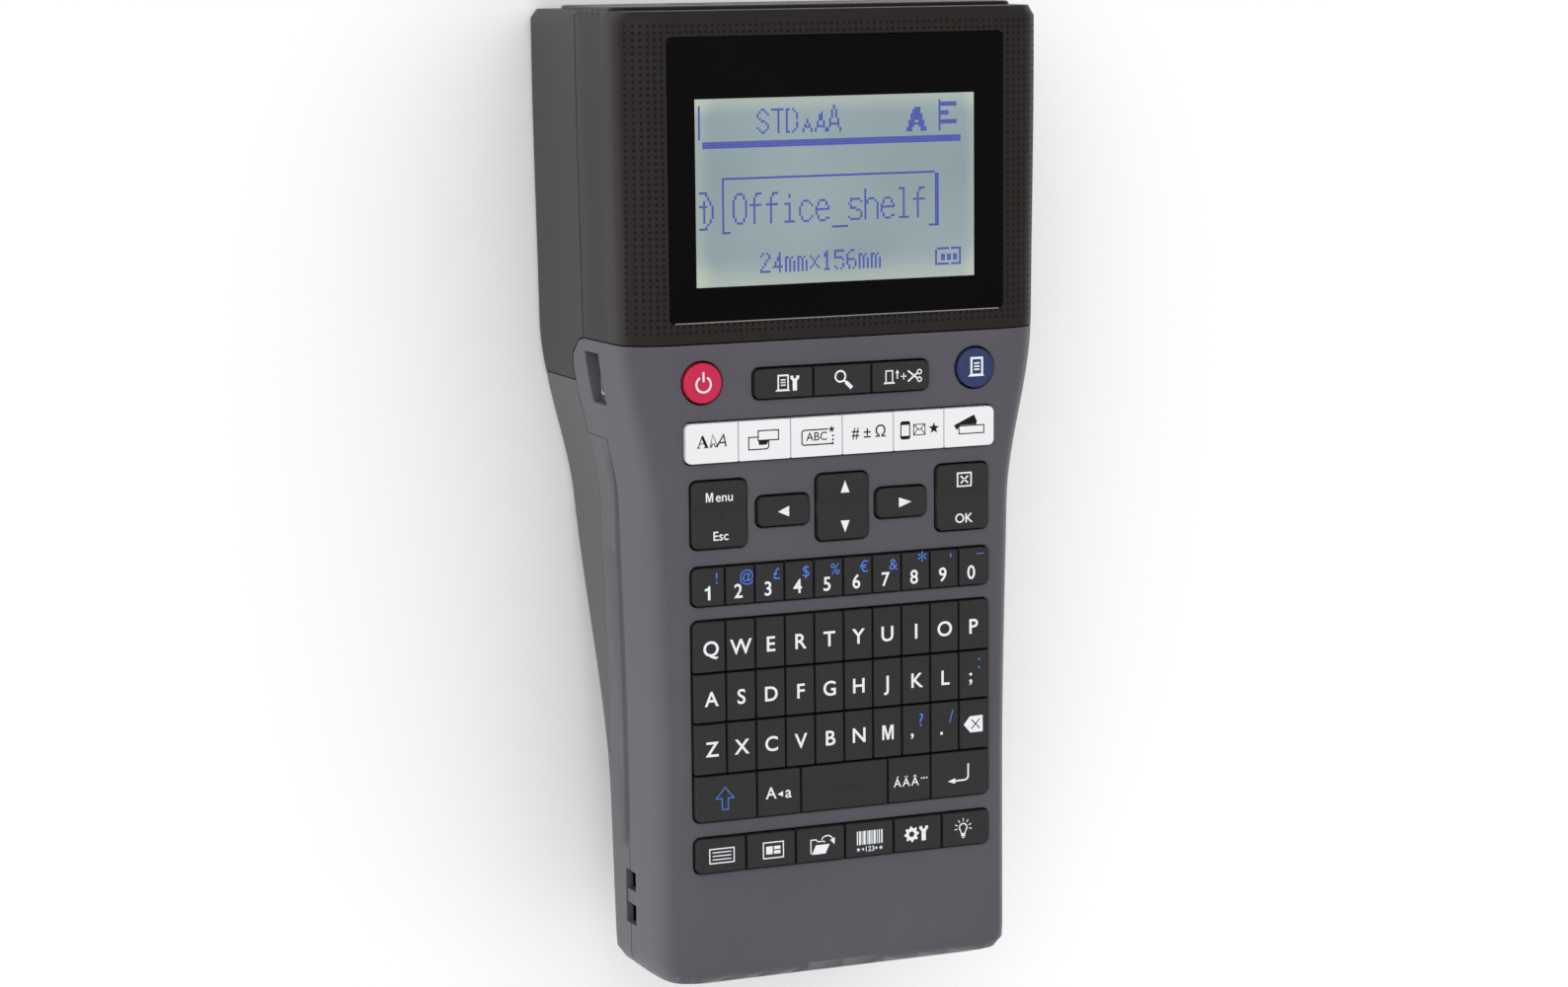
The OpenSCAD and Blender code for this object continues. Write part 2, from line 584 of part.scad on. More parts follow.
module cutter_blade() color([0.75, 0.76, 0.78]) translate([cut_pivot[0], cut_y, cut_pivot[1]]) {
  // blade arm in the plane across the tape
  rotate([90, 0, 0]) translate([0, 0, -1.2]) linear_extrude(height = 1.2) {
    polygon([[-2.5, -2], [3, -2], [3.4, 34.5], [0.4, 34.5], [-4.6, 28.5], [-4.6, 6]]);
    circle(3.6);
    // toothed sector
    intersection() {
      gear2d(sector_n, gear_m, cut_a);
      polygon([[0, 0], 20 * [cos(cut_a - 26), sin(cut_a - 26)], 22 * [cos(cut_a), sin(cut_a)],
        18 * [cos(cut_a + 19), sin(cut_a + 19)]]);
    }
  }
  rotate([-90, 0, 0]) cylinder(r = shaft_r, h = 4.6);
}
module cutter_gear() color([0.9, 0.9, 0.88]) translate([cut_gear_p[0], cut_y, cut_gear_p[1]]) {
  rotate([90, 0, 0]) translate([0, 0, -1.2]) linear_extrude(height = 1.2)
    gear2d(cutter_n, gear_m, cut_a + 180 + 180 / cutter_n);
  rotate([-90, 0, 0]) cylinder(r = shaft_r, h = 4.6);
}

// ---- cassette and cells ----
module cassette_case() color([0.85, 0.85, 0.83]) difference() {
  translate([cas_x, cas_y, 0]) plate(cassette_w, cassette_l, 3, cas_lo, cas_hi);
  translate([roll_p[0], roll_p[1], cas_lo + 1.5]) cylinder(d = tape_roll_d + 1.6, h = cassette_t - 3);
  translate([takeup_p[0], takeup_p[1], cas_lo + 1.5]) cylinder(d = 13.8, h = cassette_t - 3);
  translate([takeup_p[0], takeup_p[1], cas_lo + 4]) cylinder(d = 6.6, h = cassette_t);
}
module tape_roll() color([0.95, 0.95, 0.95]) translate([roll_p[0], roll_p[1], tape_lo_z]) difference() {
  cylinder(d = tape_roll_d, h = tape_w);
  translate([0, 0, -1]) cylinder(d = 12, h = tape_w + 2);
}
module ribbon_spool() color([0.2, 0.2, 0.22]) translate([takeup_p[0], takeup_p[1], tape_lo_z]) difference() {
  cylinder(d = 12.6, h = tape_w);
  translate([0, 0, -1]) cylinder(d = 6, h = tape_w + 2);
}
module battery_cells() color([0.75, 0.6, 0.3]) for (k = [-2.5:2.5])
  translate([k * cell_pitch, cell_y, cell_z]) rotate([90, 0, 0]) {
    translate([0, 0, -cell_l / 2 + 0.8]) cylinder(d = cell_d, h = cell_l - 1.8);
    translate([0, 0, cell_l / 2 - 1.01]) cylinder(d = 5.2, h = 1);
  }
module battery_contacts() color([0.8, 0.78, 0.7]) for (k = [-2.5:2.5]) {
  translate([k * cell_pitch, cell_y - cell_l / 2 - 3.8, cell_z]) rotate([-90, 0, 0]) cylinder(d = 7, h = 3.5);
  translate([k * cell_pitch - 3.5, cell_y + cell_l / 2 - 0.5, cell_z - 3.5]) cube([7, 0.6, 10.2]);
}

front_shell();
display_bezel();
display_window();
lcd_module();
rear_shell();
cassette_cover();
cover_window();
battery_cover();
tape_exit_block();
strap_bar();
case_screws();
power_key();
print_key();
preview_key();
search_key();
feed_cut_key();
style_key();
layout_key();
text_frame_key();
symbol_key();
icon_key();
label_type_key();
menu_key();
left_key();
up_down_key();
right_key();
ok_key();
digit_row();
letter_row_1();
letter_row_2();
letter_row_3();
bottom_row();
line_key();
block_key();
file_key();
barcode_key();
setup_key();
light_key();
keypad_sheet();
main_board();
usb_socket();
power_jack();
chassis();
drive_motor();
motor_pinion();
idler_gear();
platen_gear();
platen_roller();
takeup_gear();
head_arm();
print_head();
cutter_blade();
cutter_gear();
cassette_case();
tape_roll();
ribbon_spool();
battery_cells();
battery_contacts();
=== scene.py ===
# Looks for the hand-held label maker. Shapes are worked out in millimetres and stored in metres.
import math

import bpy
import numpy as np
from mathutils import Matrix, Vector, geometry


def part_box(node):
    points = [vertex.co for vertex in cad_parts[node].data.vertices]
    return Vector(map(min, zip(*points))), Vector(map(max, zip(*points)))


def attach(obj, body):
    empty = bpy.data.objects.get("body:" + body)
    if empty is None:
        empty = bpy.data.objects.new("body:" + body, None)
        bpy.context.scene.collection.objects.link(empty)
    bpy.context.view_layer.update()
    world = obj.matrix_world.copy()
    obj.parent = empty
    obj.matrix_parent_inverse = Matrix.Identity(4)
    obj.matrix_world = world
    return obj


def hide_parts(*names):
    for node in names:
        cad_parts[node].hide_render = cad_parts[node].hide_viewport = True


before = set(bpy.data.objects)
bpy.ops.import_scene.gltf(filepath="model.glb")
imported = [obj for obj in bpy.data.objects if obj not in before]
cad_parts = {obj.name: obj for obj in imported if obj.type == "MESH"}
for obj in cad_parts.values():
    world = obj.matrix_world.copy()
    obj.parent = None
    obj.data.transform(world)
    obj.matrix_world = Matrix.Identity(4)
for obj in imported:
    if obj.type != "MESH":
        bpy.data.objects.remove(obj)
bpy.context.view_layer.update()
scene = bpy.context.scene
print("frame loaded:", len(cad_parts), "nodes")

# what a user would change on the case
case = {
    "wall": 1.8,  # thickness of the shells
    "edge": 0.16,  # rounding of the seam edges
    "keyEdge": 0.3,  # rounding round the key openings
    "gap": 0.15,  # half of a seam
    "gripWidth": 96.0,
    "headWidth": 116.0,
    "gripDepth": 40.5,
    "endRound": 4.5,
    "grooveDepth": 1.2,
    "grooveHeight": 3.2,
    "socketY": 30.4,  # both sockets, along the body
    "jackDrop": 22.2,  # middle of the power jack below the keyboard face
    "jackRadius": 4.2,
}


def boxOf(node):
    low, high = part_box(node)
    return np.array(low) * 1000, np.array(high) * 1000


bezelBox = boxOf("display_bezel")
frontBox = boxOf("front_shell")
faceZ = float(bezelBox[1][2])
topY = float(bezelBox[1][1])
lowY = float(frontBox[0][1])
headSeamZ = float(bezelBox[0][2]) - case["gap"]
bezelY = float(bezelBox[0][1]) - case["gap"]
gripSeamZ = float(boxOf("rear_shell")[1][2]) + case["gap"]
seamTopY = float(boxOf("rear_shell")[1][1]) + 2 * case["gap"]
coverSeamZ = float(boxOf("battery_cover")[1][2]) + case["gap"]
backSeamY = float(boxOf("battery_cover")[1][1]) + case["gap"]
batteryEndY = float(boxOf("battery_cover")[0][1]) - case["gap"]
earY, earZ = bezelY - 0.8, headSeamZ - 3.5


# the skin of the body, as stations along it and distances round it
def ease(t):
    c = np.clip(t, 0, 1)
    return c * c * (3 - 2 * c)


def mix(a, b, t):
    return a + (b - a) * t


def headPart(y):
    # 1 in the head, 0 in the grip
    return 0.8 * ease((y + 4) / 46) + 0.2 * ease((y + 75) / 105)


def halfWidth(y):
    return (
        mix(
            case["gripWidth"] / 2, case["headWidth"] / 2, headPart(y)
        ) - 0.9 * (1 - ease((y - 30) / 80)) * ease((y + 4) / 46)
    )


def depthAt(y):
    return mix(case["gripDepth"] + (y + 94) * 0.07, faceZ, ease((y + 80) / 100))


def monotoneCurve(knots, values, perGap):
    # piecewise cubic through the values with Fritsch-Carlson slopes, one row per section
    h = np.diff(knots, axis=1)
    d = np.diff(values, axis=1) / h
    w1, w2 = 2 * h[:, 1:] + h[:, :-1], h[:, 1:] + 2 * h[:, :-1]
    same = d[:, 1:] * d[:, :-1] > 0
    safe = np.where(same, d[:, 1:] * d[:, :-1], 1)
    inner = np.where(
        same, (w1 + w2) * safe / (w1 * np.where(same, d[:, 1:], 1) + w2 * np.where(same, d[:, :-1], 1)), 0
    )
    m = np.concatenate([d[:, :1], inner, d[:, -1:]], 1)
    t = np.linspace(0, 1, perGap, endpoint=False)[None, None, :]
    a, b = values[:, :-1, None], values[:, 1:, None]
    hh = h[:, :, None]
    out = (
        (2 * t**3 - 3 * t**2 + 1) * a + (t**3 - 2 * t**2 + t) * hh * m[:, :-1, None]
        + (3 * t**2 - 2 * t**3) * b + (t**3 - t**2) * hh * m[:, 1:, None]
    )
    return np.concatenate([out.reshape(len(values), -1), values[:, -1:]], 1)


def sections(y, inset):
    # half section of the body at each y: middle of the face, round the side, to the middle of the back
    h, w, d = headPart(y), halfWidth(y), depthAt(y)
    offs = [
        (w, 0 * y), (mix(9, 13.2, h), 0 * y), (mix(5.6, 8.4, h), mix(0.55, 0.75, h)),
        (mix(3.6, 5.6, h), mix(1.45, 1.7, h)), (mix(2.4, 3.7, h), mix(2.7, 3.0, h)),
        (mix(1.3, 2.2, h), 4.8 + 0 * y), (mix(0.6, 1.3, h), mix(8, 7.6, h)),
        (mix(0.25, 0.9, h), mix(12, 14, h)), (0 * y, mix(20, 27.5, h)), (0 * y, d - 3.2),
        (0.35 + 0 * y, d - 1.6), (1.3 + 0 * y, d - 0.5), (3.2 + 0 * y, d - 0.06), (9 + 0 * y, d), (w, d),
    ]
    x = np.stack([w - o[0] for o in offs], 1)
    z = np.stack([faceZ - o[1] for o in offs], 1)
    steps = np.hypot(np.diff(x, axis=1), np.diff(z, axis=1))
    knots = np.concatenate([0 * y[:, None], np.cumsum(steps, 1)], 1)
    x, z = monotoneCurve(knots, x, 8), monotoneCurve(knots, z, 8)
    middle = faceZ - d / 2
    x = x * ((w - inset) / w)[:, None]
    z = middle[:, None] + (z - middle[:, None]) * ((d / 2 - inset) / (d / 2))[:, None]
    return x, z


endR = case["endRound"]
lowEnd = lowY + endR * (1 - math.pi / 2)
topStart = topY - 1.4
topEnd = topStart + 1.4 * math.pi / 2
rows = np.concatenate([
    np.linspace(lowEnd, lowY + endR, 25), np.arange(math.ceil(lowY + endR + 0.3), topStart - 0.2, 1.0),
    np.linspace(topStart, topEnd, 9),
])
turnLow = np.clip((lowY + endR - rows) / endR, 0, math.pi / 2)
turnTop = np.clip((rows - topStart) / 1.4, 0, math.pi / 2)
rowY = np.where(rows < lowY + endR, lowY + endR - endR * np.sin(turnLow), rows)
rowY = np.where(rows > topStart, topStart + 1.4 * np.sin(turnTop), rowY)
denseX, denseZ = sections(rowY, endR * (1 - np.cos(turnLow)) + 1.3 * (1 - np.cos(turnTop)))
skinStep = 0.2


def skinTable(x, z):
    # arc length round each section, and the section sampled evenly along it
    arc = np.concatenate([0 * x[:, :1], np.cumsum(np.hypot(np.diff(x, axis=1), np.diff(z, axis=1)), 1)], 1)
    s = np.arange(0, arc.max() + 2 * skinStep, skinStep)
    xs = np.stack([np.interp(s, a, q) for a, q in zip(arc, x)])
    zs = np.stack([np.interp(s, a, q) for a, q in zip(arc, z)])
    return {"arc": arc, "x": xs, "z": zs}


skin = {"front": skinTable(denseX, denseZ), "back": skinTable(denseX[:, ::-1], denseZ[:, ::-1])}


def skinPoint(s, v, side):
    # (s, v): distance round the skin from the middle of that side, and station along the body
    t = skin[side]
    i = np.clip(np.searchsorted(rows, v) - 1, 0, len(rows) - 2)
    f = np.clip((v - rows[i]) / (rows[i + 1] - rows[i]), 0, 1)
    a = np.abs(s) / skinStep
    j = np.clip(a.astype(int), 0, t["x"].shape[1] - 2)
    g = np.clip(a - j, 0, 1)

    def look(grid):
        return (1 - f) * ((1 - g) * grid[i, j] + g * grid[i, j + 1]) + f * (
            (1 - g) * grid[i + 1, j] + g * grid[i + 1, j + 1]
        )

    y = (1 - f) * rowY[i] + f * rowY[i + 1]
    return np.stack([np.sign(s) * look(t["x"]), y, look(t["z"])], -1)


def skinNormal(s, v, side):
    # cross product of the two directions on the skin, pointing out
    e = 0.25
    v0, v1 = np.maximum(v - e, lowEnd), np.minimum(v + e, topEnd)
    n = np.cross(
        skinPoint(s + e, v, side) - skinPoint(s - e, v, side),
        skinPoint(s, v1, side) - skinPoint(s, v0, side)
    )
    n = n if side == "front" else -n
    return n / np.maximum(np.linalg.norm(n, axis=-1, keepdims=True), 1e-9)


def sAtHeight(z, v, sideways, side):
    # distance round the skin at which the flank is at height z
    z, v = np.asarray(z, float), np.asarray(v, float)
    s = np.full(z.shape, 62.0)
    for _ in range(60):
        now = skinPoint(s, v, side)[..., 2]
        s = s + 0.8 * ((now - z) if side == "front" else (z - now))
    return s * sideways


def sAtX(x, v, side):
    x, v = np.asarray(x, float), np.asarray(v, float)
    s = x.copy()
    for _ in range(12):
        s = s + (x - skinPoint(s, v, side)[..., 0])
    return s


# sheets, plates and meshes
def densify(points, spacing, closed=True):
    pts = np.asarray(points, float)
    ends = np.roll(pts, -1, 0) if closed else pts[1:]
    out = [
        a + (b - a) * np.linspace(
            0, 1, max(1, math.ceil(np.hypot(*(b - a)[:2]) / spacing)), endpoint=False
        )[:, None]
        for a,
        b in zip(pts if closed else pts[:-1], ends)
    ]
    return np.concatenate(out + ([] if closed else [pts[-1:]]))


def roundedBox(x0, x1, y0, y1, r, count=7, grow=0.0):
    # outline of a box with quarter circles at its corners, anticlockwise
    x0, x1, y0, y1, r = x0 - grow, x1 + grow, y0 - grow, y1 + grow, r + grow
    a = np.linspace(0, math.pi / 2, count)
    centres = [(x1 - r, y1 - r, 0), (x0 + r, y1 - r, 1), (x0 + r, y0 + r, 2), (x1 - r, y0 + r, 3)]
    return np.concatenate([
        np.stack([cx + r * np.cos(a + q * math.pi / 2), cy + r * np.sin(a + q * math.pi / 2)], 1) for cx,
        cy, q in centres
    ])


def leftOffset(loop, distance):
    # moves a loop to its left, mitred at the corners
    d1 = loop - np.roll(loop, 1, 0)
    d2 = np.roll(loop, -1, 0) - loop
    n1 = np.stack([-d1[:, 1], d1[:, 0]], 1) / np.maximum(np.hypot(*d1.T), 1e-9)[:, None]
    n2 = np.stack([-d2[:, 1], d2[:, 0]], 1) / np.maximum(np.hypot(*d2.T), 1e-9)[:, None]
    m = (n1 + n2) / np.maximum(1 + (n1 * n2).sum(1), 0.4)[:, None]
    return loop + m * np.asarray(distance)[..., None]


def anticlockwise(ring):
    q = ring - ring.mean(0)
    after = np.roll(q, -1, 0)
    return ring if (q[:, 0] * after[:, 1] - q[:, 1] * after[:, 0]).sum() > 0 else ring[::-1]


def insideLoop(points, loop):
    # crossing count of a ray to the right
    a, b = loop, np.roll(loop, -1, 0)
    out = []
    for part in np.array_split(points, max(1, len(points) * len(loop) // 4000000)):
        x, y = part[:, 0, None], part[:, 1, None]
        up = (a[None, :, 1] > y) != (b[None, :, 1] > y)
        dy = np.where(b[:, 1] == a[:, 1], 1, b[:, 1] - a[:, 1])
        out.append(
            (up & (x < a[None, :, 0] + (y - a[None, :, 1]) / dy * (b - a)[None, :, 0])).sum(1) % 2 == 1
        )
    return np.concatenate(out)


def fillSheet(outer, holes, fillet, weight=None, inner=None, lines=(), holeFillet=None):
    # triangles between an outer loop and holes, with quarter-round rows along every edge: at angle t a row
    # sits fillet x (1 - cos t) in and fillet x (1 - sin t) down; returns points, drop, triangles
    pts, drop, edges = [], [], []
    count = 0
    loops = [(np.asarray(outer, float), fillet, weight)] + [
        (np.asarray(h, float)[::-1], holeFillet or fillet, None) for h in holes
    ]
    guards = []
    for loop, r, w in loops:
        w = np.ones(len(loop)) if w is None else np.asarray(w, float)
        for turn in (0, 25, 50, 75, 90, 180):
            t = math.radians(min(turn, 90))
            d = r * (1 - math.cos(t)) + (0.3 if turn == 180 else 0)
            ring = leftOffset(loop, d * w)
            pts.append(ring)
            drop.append(r * (1 - math.sin(t)) * w)
            k = np.arange(len(ring)) + count
            edges.append(np.stack([k, np.roll(k, -1)], 1))
            count += len(ring)
        guards.append(ring)
    for line in lines:
        pts.append(line)
        drop.append(np.zeros(len(line)))
        k = np.arange(len(line)) + count
        edges.append(np.stack([k[:-1], k[1:]], 1))
        count += len(line)
        guards.append(line)
    if inner is not None and len(inner):
        near = np.concatenate(guards)
        keep = insideLoop(inner, loops[0][0])
        for loop, _, _ in loops[1:]:
            keep &= ~insideLoop(inner, loop)
        inner = inner[keep]
        far = np.concatenate([
            (((part[:, None] - near[None]) ** 2).sum(-1).min(1) > 0.7**2)
            for part in np.array_split(inner, max(1, len(inner) * len(near) // 3000000))
        ])
        pts.append(inner[far])
        drop.append(np.zeros(far.sum()))
    pts, drop, edges = np.concatenate(pts), np.concatenate(drop), np.concatenate(edges)
    made = geometry.delaunay_2d_cdt([tuple(p) for p in pts.tolist()], edges.tolist(), [], 0, 1e-5, True)
    out = np.array([tuple(p) for p in made[0]])
    first = np.array([ids[0] if len(ids) else -1 for ids in made[3]])
    outDrop = np.where(first >= 0, drop[first], 0)
    tris = np.array([f for f in made[2] if len(f) == 3])
    mid = out[tris].mean(1)
    keep = insideLoop(mid, loops[0][0])
    for loop, _, _ in loops[1:]:
        keep &= ~insideLoop(mid, loop)
    tris = tris[keep]
    a, b, c = out[tris[:, 0]], out[tris[:, 1]], out[tris[:, 2]]
    area = (b - a)[:, 0] * (c - a)[:, 1] - (b - a)[:, 1] * (c - a)[:, 0]
    tris = np.where((area < 0)[:, None], tris[:, ::-1], tris)[np.abs(area) > 1e-9]
    return out, outDrop, tris


def weld(verts, tris, digits=4):
    _, first, back = np.unique(np.round(verts, digits), axis=0, return_index=True, return_inverse=True)
    tris = back.reshape(-1)[tris]
    keep = (tris[:, 0] != tris[:, 1]) & (tris[:, 1] != tris[:, 2]) & (tris[:, 0] != tris[:, 2])
    return verts[first], tris[keep], first, back.reshape(-1)


def closedShell(parts, wall):
    # outer sheets joined, an inner copy a wall thickness in, and side faces along the free edges
    offset, allP, allN, allT = 0, [], [], []
    for p, n, base, t in parts:
        allP.append(np.concatenate([p, base], 1))
        allN.append(n)
        allT.append(t + offset)
        offset += len(p)
    both, n, t = np.concatenate(allP), np.concatenate(allN), np.concatenate(allT)
    _, tris, first, back = weld(both[:, :3], t, 3)
    p, base = both[first, :3], both[first, 3:]
    total = np.zeros((len(first), 3))
    np.add.at(total, back, n)
    n = total / np.maximum(np.linalg.norm(total, axis=1, keepdims=True), 1e-9)
    inner = base - n * wall
    e = np.concatenate([tris[:, [0, 1]], tris[:, [1, 2]], tris[:, [2, 0]]])
    key = np.sort(e, 1)
    _, where, counts = np.unique(key, axis=0, return_index=True, return_counts=True)
    free = e[where[counts == 1]]
    k = len(p)
    side = np.concatenate([
        np.stack([free[:, 1], free[:, 0], free[:, 0] + k], 1),
        np.stack([free[:, 1], free[:, 0] + k, free[:, 1] + k], 1)
    ])
    return np.concatenate([p, inner]), np.concatenate([tris, tris[:, ::-1] + k, side])


def plate(outline, holes, level, thick, fillet, facing="z"):
    # plate facing +Z, +Y or -X with a quarter-round edge: height level less the drop of each row
    pts, drop, tris = fillSheet(outline, holes, fillet)
    axis, sign = {"z": (2, 1), "y": (1, 1), "x": (0, -1)}[facing]
    p = np.insert(pts, axis, level - sign * drop, axis=1)
    base = np.insert(pts, axis, level, axis=1)
    n = np.zeros_like(p)
    n[:, axis] = sign
    return closedShell([(p, n, base, tris if facing == "z" else tris[:, ::-1])], thick)


def makePiece(name, verts, tris, materials, bodyName, slotName=None, faceMaterial=None, sharp=38, merge=True):
    verts, tris = np.asarray(verts, float), np.asarray(tris, int)
    if merge:
        _, back = np.unique(np.round(verts, 4), axis=0, return_inverse=True)
        verts, kept, _, _ = weld(verts, tris)
        if faceMaterial is not None:
            old = back.reshape(-1)[tris]
            good = (old[:, 0] != old[:, 1]) & (old[:, 1] != old[:, 2]) & (old[:, 0] != old[:, 2])
            faceMaterial = np.asarray(faceMaterial)[good]
        tris = kept
    mesh = bpy.data.meshes.new(name)
    mesh.vertices.add(len(verts))
    mesh.vertices.foreach_set("co", (verts / 1000).ravel())
    mesh.loops.add(tris.size)
    mesh.loops.foreach_set("vertex_index", tris.ravel())
    mesh.polygons.add(len(tris))
    mesh.polygons.foreach_set("loop_start", np.arange(len(tris)) * 3)
    mesh.polygons.foreach_set("use_smooth", np.ones(len(tris), bool))
    for m in materials if isinstance(materials, (list, tuple)) else [materials]:
        mesh.materials.append(m)
    if faceMaterial is not None:
        mesh.polygons.foreach_set("material_index", np.asarray(faceMaterial, np.int32))
    mesh.update(calc_edges=True)
    mesh.validate()
    mesh.set_sharp_from_angle(angle=math.radians(sharp))
    piece = bpy.data.objects.new(name, mesh)
    scene.collection.objects.link(piece)
    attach(piece, bodyName)
    return piece


# materials as sums of shader values
def addNode(tree, kind, settings, inputs, output=0):
    # settings first, then inputs: a value is linked, anything else is set on the socket
    node = tree.nodes.new(kind)
    for key, value in settings.items():
        setattr(node, key, value)
    for key, value in inputs.items():
        if isinstance(value, Value):
            tree.links.new(value.socket, node.inputs[key])
        else:
            node.inputs[key].default_value = value
    return Value(tree, node.outputs[output])


class Value:
    # a number on a shader socket that can be used in sums
    def __init__(self, tree, socket):
        self.tree, self.socket = tree, socket

    def sum(self, operation, *others):
        return addNode(self.tree, "ShaderNodeMath", {"operation": operation}, dict(enumerate(others)))

    def __add__(self, other):
        return self.sum("ADD", self, other)

    def __radd__(self, other):
        return self.sum("ADD", other, self)

    def __sub__(self, other):
        return self.sum("SUBTRACT", self, other)

    def __rsub__(self, other):
        return self.sum("SUBTRACT", other, self)

    def __mul__(self, other):
        return self.sum("MULTIPLY", self, other)

    def __rmul__(self, other):
        return self.sum("MULTIPLY", other, self)

    def __truediv__(self, other):
        return self.sum("DIVIDE", self, other)

    def __pow__(self, other):
        return self.sum("POWER", self, other)

    def fraction(self):
        return self.sum("FRACT", self)

    def size(self):
        return self.sum("ABSOLUTE", self)

    def root(self):
        return self.sum("SQRT", self)

    def between(self, low, high):
        # 0 below low, 1 above high, smooth in between
        return addNode(
            self.tree, "ShaderNodeMapRange", {"interpolation_type": "SMOOTHSTEP"},
            {"Value": self, "From Min": low, "From Max": high}, "Result",
        )


class Finish:
    # a material being put together
    def __init__(self, name, **constants):
        self.material = bpy.data.materials.new(name)
        self.material.use_nodes = True
        self.tree = self.material.node_tree
        self.shader = self.tree.nodes["Principled BSDF"]
        for key, value in constants.items():
            self.shader.inputs[key.replace("_", " ")].default_value = value
        self.place = self.put("ShaderNodeTexCoord", {}, {}, "Object")

    def put(self, kind, settings, inputs, output=0):
        return addNode(self.tree, kind, settings, inputs, output)

    def noise(self, scale, detail=2.0, roughness=0.5, stretch=None):
        where = self.place
        if stretch:
            where = self.put("ShaderNodeMapping", {}, {"Vector": self.place, "Scale": stretch})
        return self.put(
            "ShaderNodeTexNoise", {},
            {"Vector": where, "Scale": scale, "Detail": detail, "Roughness": roughness}
        )

    def split(self, vector):
        return [self.put("ShaderNodeSeparateXYZ", {}, {0: vector}, k) for k in range(3)]

    def axes(self):
        return self.split(self.place)

    def facing(self):
        # components of the surface normal
        return self.split(self.put("ShaderNodeNewGeometry", {}, {}, "Normal"))

    def blend(self, factor, a, b):
        return self.put("ShaderNodeMix", {"data_type": "RGBA"}, {0: factor, 6: a, 7: b}, 2)

    def use(self, name, value):
        self.tree.links.new(value.socket, self.shader.inputs[name])

    def bump(self, height, distance, strength=1.0):
        b = self.put(
            "ShaderNodeBump", {}, {"Height": height, "Distance": distance, "Strength": strength}, "Normal"
        )
        self.use("Normal", b)


def colour(r, g, b):
    # screen colour 0-255 to linear light
    c = [v / 255 for v in (r, g, b)]
    return [v / 12.92 if v <= 0.04045 else ((v + 0.055) / 1.055) ** 2.4 for v in c] + [1.0]


def mouldedPlastic(name, tone, light, rough=0.42, grain=0.00004, grainScale=2600, coat=0.0):
    # fine spark-eroded grain, slow tone changes and a slightly uneven gloss
    f = Finish(name, Metallic=0.0, Specular_IOR_Level=0.36)
    fine = f.noise(grainScale, 2.5, 0.6)
    slow = f.noise(28, 3.0, 0.5)
    f.use("Base Color", f.blend(slow.between(0.25, 0.75) * 0.6 + fine * 0.4, tone, light))
    f.use("Roughness", rough - 0.06 + fine * 0.1 + slow * 0.05)
    f.bump(fine, grain, 0.8)
    if coat:
        f.shader.inputs["Coat Weight"].default_value = coat
    return f.material


def bezelPlastic(name):
    # dark plastic with a square grid of small dimples on the face, fading towards the sides; the dimples are
    # sunk by the bump and painted darker, as painted shade in their hollows
    f = Finish(name, Metallic=0.0, Specular_IOR_Level=0.28)
    x, y, _ = f.axes()
    upward = f.facing()[2]
    pitch = 0.00165
    dx = (x / pitch + 0.5).fraction() - 0.5
    dy = (y / pitch + 0.5).fraction() - 0.5
    away = (dx * dx + dy * dy).root()
    field = upward.between(0.3, 0.6) * (y - 0.0425).between(0.0, 0.0004) * (0.118 - y).between(0.0, 0.001)
    dimpleAndShade = (1 - away.between(0.14, 0.27)) * field
    fine = f.noise(2400, 2.5, 0.6)
    slow = f.noise(30, 3.0, 0.5)
    plain = f.blend(slow * 0.6 + fine * 0.4, colour(42, 38, 36), colour(48, 44, 42))
    # painted shade: the hollows of the dimples are given a darker colour
    f.use("Base Color", f.blend(dimpleAndShade * 0.85, plain, colour(24, 21, 20)))
    f.use("Roughness", 0.4 + fine * 0.08 + dimpleAndShade * 0.25)
    f.bump(fine * 0.05 - dimpleAndShade, 0.00022, 0.9)
    return f.material


def inkFinish(name, tone, rough=0.5):
    f = Finish(name, Specular_IOR_Level=0.4)
    fine = f.noise(5200, 2.0, 0.6)
    dark = [c * 0.86 for c in tone[:3]] + [1.0]
    f.use("Base Color", f.blend(fine.between(0.35, 0.7), dark, tone))
    f.use("Roughness", rough - 0.05 + fine * 0.12)
    f.bump(fine, 0.00001, 0.5)
    return f.material


def rubberFinish(name, tone, light):
    # matt key rubber with a fine speckle
    f = Finish(name, Specular_IOR_Level=0.35)
    fine = f.noise(3800, 3.0, 0.65)
    slow = f.noise(60, 2.0, 0.5)
    f.use("Base Color", f.blend(fine.between(0.3, 0.75) * 0.7 + slow * 0.3, tone, light))
    f.use("Roughness", 0.5 + fine * 0.14)
    f.bump(fine, 0.000035, 0.7)
    return f.material


def metalFinish(name, tone, rough=0.3, stretch=(1, 1, 30)):
    f = Finish(name, Metallic=1.0)
    lines = f.noise(900, 3.0, 0.6, stretch)
    f.use("Base Color", f.blend(lines, tone, [min(1, c * 1.15) for c in tone[:3]] + [1.0]))
    f.use("Roughness", rough + lines * 0.14)
    f.bump(lines, 0.00001, 0.4)
    return f.material


